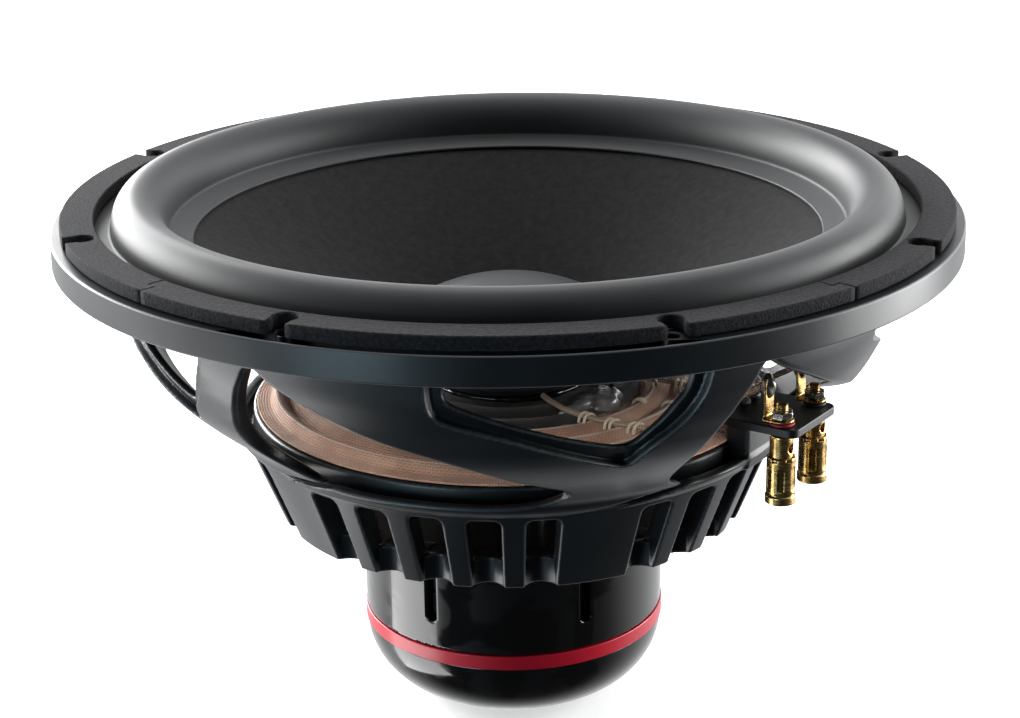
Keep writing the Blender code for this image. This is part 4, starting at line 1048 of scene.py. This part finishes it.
make("top_plate_ring", turned_body([(28.3, -114.3, 0.4), (52.0, -114.3, 0.4), (52.0, -104.3, 0.4), (28.3, -104.3, 0.4)]),
     plated_steel, "frame", ["top_plate"])
for name, top in (("upper_magnet", -114.6), ("lower_magnet", -129.9)):
    make(f"{name}_ring", turned_body([(33.0, top - 15, 1.0), (50.0, top - 15, 1.0), (50.0, top, 1.0), (33.0, top, 1.0)]),
         ferrite, "frame", [name])
make("yoke_body", turned_body([
    (6.0, -157.2, 0.5), (50.0, -157.2, 0.8), (50.0, -145.2, 0.4), (23.2, -145.2, 0.4), (23.2, -116.3, 0.1),
    (24.6, -116.3, 0.2), (24.6, -101.3, 0.5), (22.6, -99.3, 0.5), (6.0, -99.3, 0.8)]), plated_steel, "frame", ["t_yoke"])
make("shorting_sleeve", turned_body([(23.5, -144.6, 0.2), (24.6, -144.6, 0.2), (24.6, -116.6, 0.2), (23.5, -116.6, 0.2)]),
     copper, "frame", ["shorting_ring"])


def cover(x, y, z):
    """Round wall less six upright slots with round ends."""
    r = np.hypot(x, y)
    azimuth = (np.degrees(np.arctan2(x, -y)) + 32.4 + 30.0) % 60.0 - 30.0
    wall = common(np.abs(r - 53.8) - 1.2, np.abs(z + 126.7) - 22.4, 0.5)
    slot = np.hypot(np.radians(azimuth) * r, np.maximum(np.abs(z + 125.65) - 11.55, 0)) - 2.1
    return common(wall, -slot, 0.35)


shell, sharp = cast(cover, (-57.0, -57.0, -151.0), (57.0, 57.0, -102.5), 0.85)
make("motor_can", shell, abs_gloss, "frame", ["motor_cover"])
make("red_band", turned_body([(52.6, -154.6, 0.2), (55.4, -154.6, 0.3), (55.4, -149.4, 0.3), (52.6, -149.4, 0.2)], 320),
     red_lacquer, "frame", ["trim_ring"])


def bowl_line(reach, rim, base, count=40):
    """Quarter of an ellipse from the flat underside up to the side wall."""
    turn = np.linspace(math.pi / 2, 0.0, count)
    return np.stack([23.0 + (reach - 23.0) * np.cos(turn), base + (rim - base) * (1 - np.sin(turn))], -1)


under, inside_line = bowl_line(54.9, -154.9, -182.4), bowl_line(52.4, -154.9, -179.4)
bowl = np.concatenate([[(0.0, -182.4), (12.0, -182.4)], under, inside_line[::-1], [(12.0, -179.4), (0.0, -179.4)]])
bowl_turned = np.concatenate([[(0, -1), (0, -1)], curve_normals(under), -curve_normals(inside_line)[::-1], [(0, 1), (0, 1)]])
bowl_turned[2] = (0.0, -1.0)
bowl_turned[-3] = (0.0, 1.0)
make("motor_bowl", revolve(bowl, bowl_turned, False, 320), abs_gloss, "frame", ["motor_cap"])


def cap_screw(head_r, head_low, head_high, shank_r, shank_low, socket_r, columns=96):
    """Socket screw: rows of radii by turn, round on the shank, lightly knurled on the head, and six-sided in
    the socket."""
    turn = np.linspace(0.0, 2 * np.pi, columns, endpoint=False)
    six = socket_r * math.cos(math.pi / 6) / np.cos((turn % (math.pi / 3)) - math.pi / 6)
    knurl = head_r - 0.12 * (1 - np.abs(np.cos(18 * turn)))
    deep = 0.55 * (head_high - head_low)
    rows = [(0 * turn, shank_low), (0.7 * shank_r, shank_low), (shank_r, shank_low + 0.4), (shank_r, head_low - 0.05),
            (shank_r, head_low), (shank_r + 0.1, head_low), (knurl - 0.2, head_low), (knurl, head_low + 0.15),
            (knurl, head_high - 0.5), (knurl - 0.15, head_high - 0.15), (knurl - 0.5, head_high),
            (six + 0.25, head_high), (six, head_high - 0.15), (six, head_high - deep), (six * 0.97, head_high - deep),
            (six * 0.5, head_high - deep - 0.3), (0 * turn, head_high - deep - 0.4)]
    grid = [np.stack(np.broadcast_arrays(r * np.cos(turn), r * np.sin(turn), z), -1) for r, z in rows]
    return skin(np.stack(grid))


for k in range(4):
    place = on_axis(44.0, 9.3 + 90.0 * k, 0.0)
    make(f"socket_screw_{k + 1}", settled([cap_screw(4.2, -99.2, -95.2, 2.0, -112.0, 1.9)], np.eye(3), place),
         nickel, "frame", [f"motor_screw_{k + 1}"])


# ---------------------------------------------------------------- terminals

def on_board(along, across):
    """Place on the terminal board, in the row's own directions."""
    return np.array([along, across, 0.0]) @ np.array(board_axes())


def ring_points(x, y, radius, count=36, backwards=False):
    """Circle in the board's directions."""
    a = np.linspace(0.0, 2 * np.pi, count, endpoint=False)
    a = -a if backwards else a
    return np.stack([x + radius * np.cos(a), y + radius * np.sin(a)], -1)


def board_outline():
    """Rectangle with round corners."""
    parts = []
    for x, y, start in ((120.5, 12.0, 0), (98.0, 12.0, 90), (98.0, -12.0, 180), (120.5, -12.0, 270)):
        a = np.radians(start + np.linspace(0.0, 90.0, 9))
        parts.append(np.stack([x + 3.5 * np.cos(a), y + 3.5 * np.sin(a)], -1))
    return np.concatenate(parts)


holes = [ring_points(POST_R, s * POST_SPREAD, 2.3, 36, True) for s in (-1, 1)]
holes += [ring_points(96.6, c, 1.6, 24, True) for c in (-1.0, 6.0)]
make("terminal_plate", settled(plate([board_outline(), *holes], -58.0, -55.0, 0.45, 3), board_axes()), laminate, "frame",
     ["terminal_board"])


def barrel(x, y, z):
    """Round post with the wire's cross hole."""
    r = np.hypot(x, y)
    post = common(r - 4.0, np.abs(z + 66.15) - 7.85, 0.35)
    return common(post, -(np.hypot(y, z + 62.8) - 1.7), 0.25)


def sleeve(x, y, z):
    """Push sleeve: a cup with a foot ring, six upright oblong flutes, and shallow notches in its top edge."""
    r = np.hypot(x, y)
    turn = (np.degrees(np.arctan2(y, x)) + 30.0) % 60.0 - 30.0
    side = np.radians(turn) * r
    outer = common(r - 4.9, np.abs(z + 74.25) - 8.25, 0.35)
    foot = common(r - 5.2, np.abs(z + 81.0) - 1.5, 0.4)
    flute = np.hypot(side, np.maximum(np.abs(z + 73.6) - 3.2, 0)) - 1.15
    outer = common(outer, -common(flute, 4.62 - r, 0.15), 0.15)
    half_turn = (np.degrees(np.arctan2(y, x))) % 60.0 - 30.0
    notch = np.maximum(np.abs(np.radians(half_turn) * r) - 1.0, -67.1 - z)
    outer = common(outer, -np.maximum(notch, 4.6 - r), 0.15)
    groove = np.hypot(r - 5.15, z + 79.1) - 0.42
    inner = np.maximum(r - 4.35, -81.0 - z)
    return common(common(np.minimum(outer, foot), -groove, 0.15), -inner, 0.15)


def tab(x, y, z):
    """Solder tab: a flat foot with a round end and a stud hole, bent up into a leaf with a round end."""
    foot = np.maximum(np.hypot(np.maximum(x - POST_R, 0), y) - 4.0, np.abs(y) - 3.9)
    foot = np.maximum(foot, 111.5 - x)
    foot = common(np.maximum(foot, 2.25 - np.hypot(x - POST_R, y)), np.abs(z + 53.2) - 0.4, 0.15)
    leaf = np.where(z > -41.5, np.hypot(y, z + 41.5) - 3.0, np.maximum(np.abs(y) - 3.0, -53.6 - z))
    leaf = common(leaf, np.abs(x - 111.9) - 0.4, 0.15)
    return joined(foot, leaf, 0.7)


def nut(x, y, z):
    """Hexagon nut: six flats, edges taken off by a cone at each face, and a threaded hole."""
    turn = (np.arctan2(y, x) % (math.pi / 3)) - math.pi / 6
    r = np.hypot(x, y)
    flats = r * np.cos(turn) - 3.9 * math.cos(math.pi / 6)
    body = np.maximum(flats, np.abs(z + 51.2) - 1.3)
    body = common(body, (r + 1.7 * np.abs(z + 51.2) - 5.5) * 0.5, 0.1)
    return common(body, 2.1 - r, 0.2)


def stud(low, high, radius=1.95, pitch=0.7):
    """Threaded stud: radius waves by one pitch for each turn."""
    z, turn = np.meshgrid(np.linspace(low, high, 90), np.linspace(0, 2 * np.pi, 32, endpoint=False), indexing="ij")
    r = radius - 0.12 * (1 - np.cos(2 * math.pi * z / pitch - turn))
    r[-1], r[0] = r[-1] * 0.8, r[0] * 0.8
    body = np.stack([r * np.cos(turn), r * np.sin(turn), z], -1)
    ends = [np.broadcast_to([0.0, 0.0, h], (1, 32, 3)) for h in (low, high)]
    return skin(np.concatenate([ends[0], body, ends[1]]))


def solder_joint(seed):
    """Drop of solder over the leaf's top and the end of the lead: an ellipsoid with slow waves on it."""
    v, u = np.meshgrid(np.linspace(-math.pi / 2, math.pi / 2, 24), np.linspace(0, 2 * np.pi, 40, endpoint=False),
                       indexing="ij")
    swell = 1 + 0.07 * np.sin(3 * u + 2 * v + seed) + 0.05 * np.sin(5 * v + 4 * u)
    x = 111.6 + 2.3 * swell * np.cos(v) * np.cos(u)
    y = 2.7 * swell * np.cos(v) * np.sin(u)
    return skin(np.stack([x, y, -42.4 + 4.3 * np.sin(v) * (1 + 0.05 * np.sin(seed))], -1))


shells = {
    "barrel": cast(barrel, (-5.0, -5.0, -75.0), (5.0, 5.0, -57.6), 0.26)[0],
    "sleeve": cast(sleeve, (-6.0, -6.0, -83.4), (6.0, 6.0, -65.2), 0.24)[0],
    "tab": cast(tab, (110.5, -5.0, -54.4), (122.0, 5.0, -37.6), 0.2)[0],
    "nut": cast(nut, (-4.6, -4.6, -53.2), (4.6, 4.6, -49.2), 0.2)[0],
}
for k, side in ((1, -1), (2, 1)):
    post = on_board(POST_R, side * POST_SPREAD)
    beside = on_board(0.0, side * POST_SPREAD)
    axes = board_axes()
    make(f"post_barrel_{k}", settled([shells["barrel"], stud(-59.0, -47.5)], axes, post), gold, "frame",
         [f"terminal_barrel_{k}"])
    make(f"push_sleeve_{k}", settled([shells["sleeve"]], axes, post), gold, f"push_button_{k}", [f"push_cap_{k}"])
    coil_turn = np.linspace(0.0, 4.5, 130)
    height = -80.35 + 5.7 * coil_turn / 4.5
    wire = np.stack([3.2 * np.cos(2 * np.pi * coil_turn), 3.2 * np.sin(2 * np.pi * coil_turn), height], -1)
    make(f"cap_spring_{k}", settled([tube(wire, 0.35, 10)], axes, post), nickel,
         ("frame", f"push_button_{k}", lambda co: np.clip((-74.75 - co[:, 2]) / 5.5, 0, 1)), [f"terminal_spring_{k}"])
    washer = turned_body([(2.3, -54.7, 0.1), (4.2, -54.7, 0.2), (4.2, -53.9, 0.2), (2.3, -53.9, 0.1)], 48)
    make(f"fibre_washer_{k}", settled([washer], axes, post), insulator if side < 0 else black_washer,
         "frame", [f"terminal_washer_{k}"])
    make(f"solder_leaf_{k}", settled([shells["tab"]], axes, beside), gold, "frame", [f"solder_tab_{k}"])
    make(f"solder_drop_{k}", settled([solder_joint(k)], axes, beside), solder, "frame", [f"solder_tab_{k}"])
    make(f"hex_nut_{k}", settled([shells["nut"]], axes, post), nickel, "frame", [f"terminal_nut_{k}"])
    screw_place = on_board(96.6, (-1.0, 6.0)[k - 1])
    make(f"board_screw_{k}", settled([cap_screw(2.6, -54.7, -53.1, 1.3, -64.0, 1.2)], axes, screw_place), plated_steel,
         "frame", [f"terminal_screw_{k}"])


# ---------------------------------------------------------------- floor, light and camera

floor = bpy.data.objects.new("floor", bpy.data.meshes.new("floor"))
FLOOR_REACH = 9.0
floor.data.from_pydata([(x * FLOOR_REACH, y * FLOOR_REACH, 0) for x, y in ((-1, -1), (1, -1), (1, 1), (-1, 1))],
                       [], [(0, 1, 2, 3)])
floor.data.materials.append(pale_floor)
bpy.context.collection.objects.link(floor)
# The floor glows, so that it reads as white and hardly shows a shadow. It is hidden from diffuse, glossy and
# shadow rays, so it throws nothing back onto the black underside and lets the lamp below it shine through.
floor.visible_diffuse = False
floor.visible_glossy = False
floor.visible_shadow = False


def soft_box(name, place, aim, width, height, power, colour="#FFFFFF", only=()):
    """Rectangular studio light that faces a point."""
    light = bpy.data.lights.new(name, "AREA")
    light.shape = "RECTANGLE"
    light.size, light.size_y, light.energy = width, height, power
    light.color = srgb(colour)[:3]
    obj = bpy.data.objects.new(name, light)
    z = unit(np.array(place, float) - np.array(aim, float))
    x = unit(np.cross([0.0, 0.0, 1.0], z))
    turn = np.eye(4)
    turn[:3, :3] = np.stack([x, np.cross(z, x), z], -1)
    turn[:3, 3] = place
    obj.matrix_world = Matrix(turn.tolist())
    bpy.context.collection.objects.link(obj)
    if only:
        obj.light_linking.receiver_collection = bpy.data.collections.new(name)
        for piece in only:
            obj.light_linking.receiver_collection.objects.link(bpy.data.objects[piece])


# left_low_box stands below the floor, to light the underside of the basket.
soft_box("left_box", (-1.2, 0.3, 0.35), (0.0, 0.0, 0.1), 0.9, 0.9, 15.0)
soft_box("left_low_box", (-1.0, -0.1, -0.55), (0.0, 0.0, 0.1), 0.9, 0.7, 8.0)
soft_box("left_back_box", (-1.0, 1.1, 0.5), (0.0, 0.0, 0.18), 1.3, 0.9, 50.0)
soft_box("right_box", (1.2, 0.2, 0.25), (0.0, 0.0, 0.1), 0.9, 1.0, 24.0)
soft_box("right_back_box", (0.85, 1.2, 0.5), (0.0, 0.0, 0.18), 0.7, 0.9, 3.0)
soft_box("top_box", (0.0, 0.9, 1.5), (0.0, 0.0, 0.1), 2.0, 0.8, 8.0)
soft_box("front_fill", (-0.9, -1.2, 0.0), (0.0, 0.0, 0.1), 0.6, 0.5, 6.0, "#C4E4F4")
# window_fill reaches only these pieces, which no real lamp could do. It lifts the cloth seen through the windows.
CLOTH_PIECES = ("spider_cloth", "spider_stitches", "lead_braid_1", "lead_braid_2",
                "lead_stitch_1", "lead_stitch_2", "lead_glue")
soft_box("window_fill", (0.15, -1.2, 0.82), (0.0, 0.0, 0.12), 1.4, 0.5, 36.0, "#FFF6EE", CLOTH_PIECES)

# The camera sees an even white. Every other ray finds the surroundings dim in front and bright behind.
world = bpy.data.worlds.new("studio")
bpy.context.scene.world = world
world.use_nodes = True
tree = world.node_tree
direction = add(tree, "ShaderNodeTexCoord").outputs["Generated"]
lean = add(tree, "ShaderNodeVectorMath", {0: direction, 1: (0.0, 1.0, 0.45)}, operation="DOT_PRODUCT").outputs["Value"]
behind = add(tree, "ShaderNodeMapRange", {0: lean, 1: -0.55, 2: 0.5, 3: 0.025, 4: 0.95},
             interpolation_type="SMOOTHSTEP").outputs[0]
seen = add(tree, "ShaderNodeLightPath").outputs["Is Camera Ray"]
level = add(tree, "ShaderNodeMix", {"Factor": seen, "A": behind, "B": 1.0}).outputs["Result"]
tree.links.new(level, tree.nodes["Background"].inputs["Strength"])
tree.nodes["Background"].inputs["Color"].default_value = srgb("#FBFCFD")

camera = bpy.data.cameras.new("camera")
CAMERA_PLACE, CAMERA_PITCH, CAMERA_ROLL = (0.0, -0.7939, 0.4044), 70.635, -0.0162
camera.lens, camera.sensor_width = 81.84, 36.0
camera.clip_start = 0.01
camera_obj = bpy.data.objects.new("camera", camera)
bpy.context.collection.objects.link(camera_obj)
camera_obj.matrix_world = (Matrix.Translation(CAMERA_PLACE) @ Matrix.Rotation(math.radians(CAMERA_PITCH), 4, "X")
                           @ Matrix.Rotation(CAMERA_ROLL, 4, "Z"))
bpy.context.scene.camera = camera_obj
bpy.context.scene.view_settings.view_transform = "Standard"
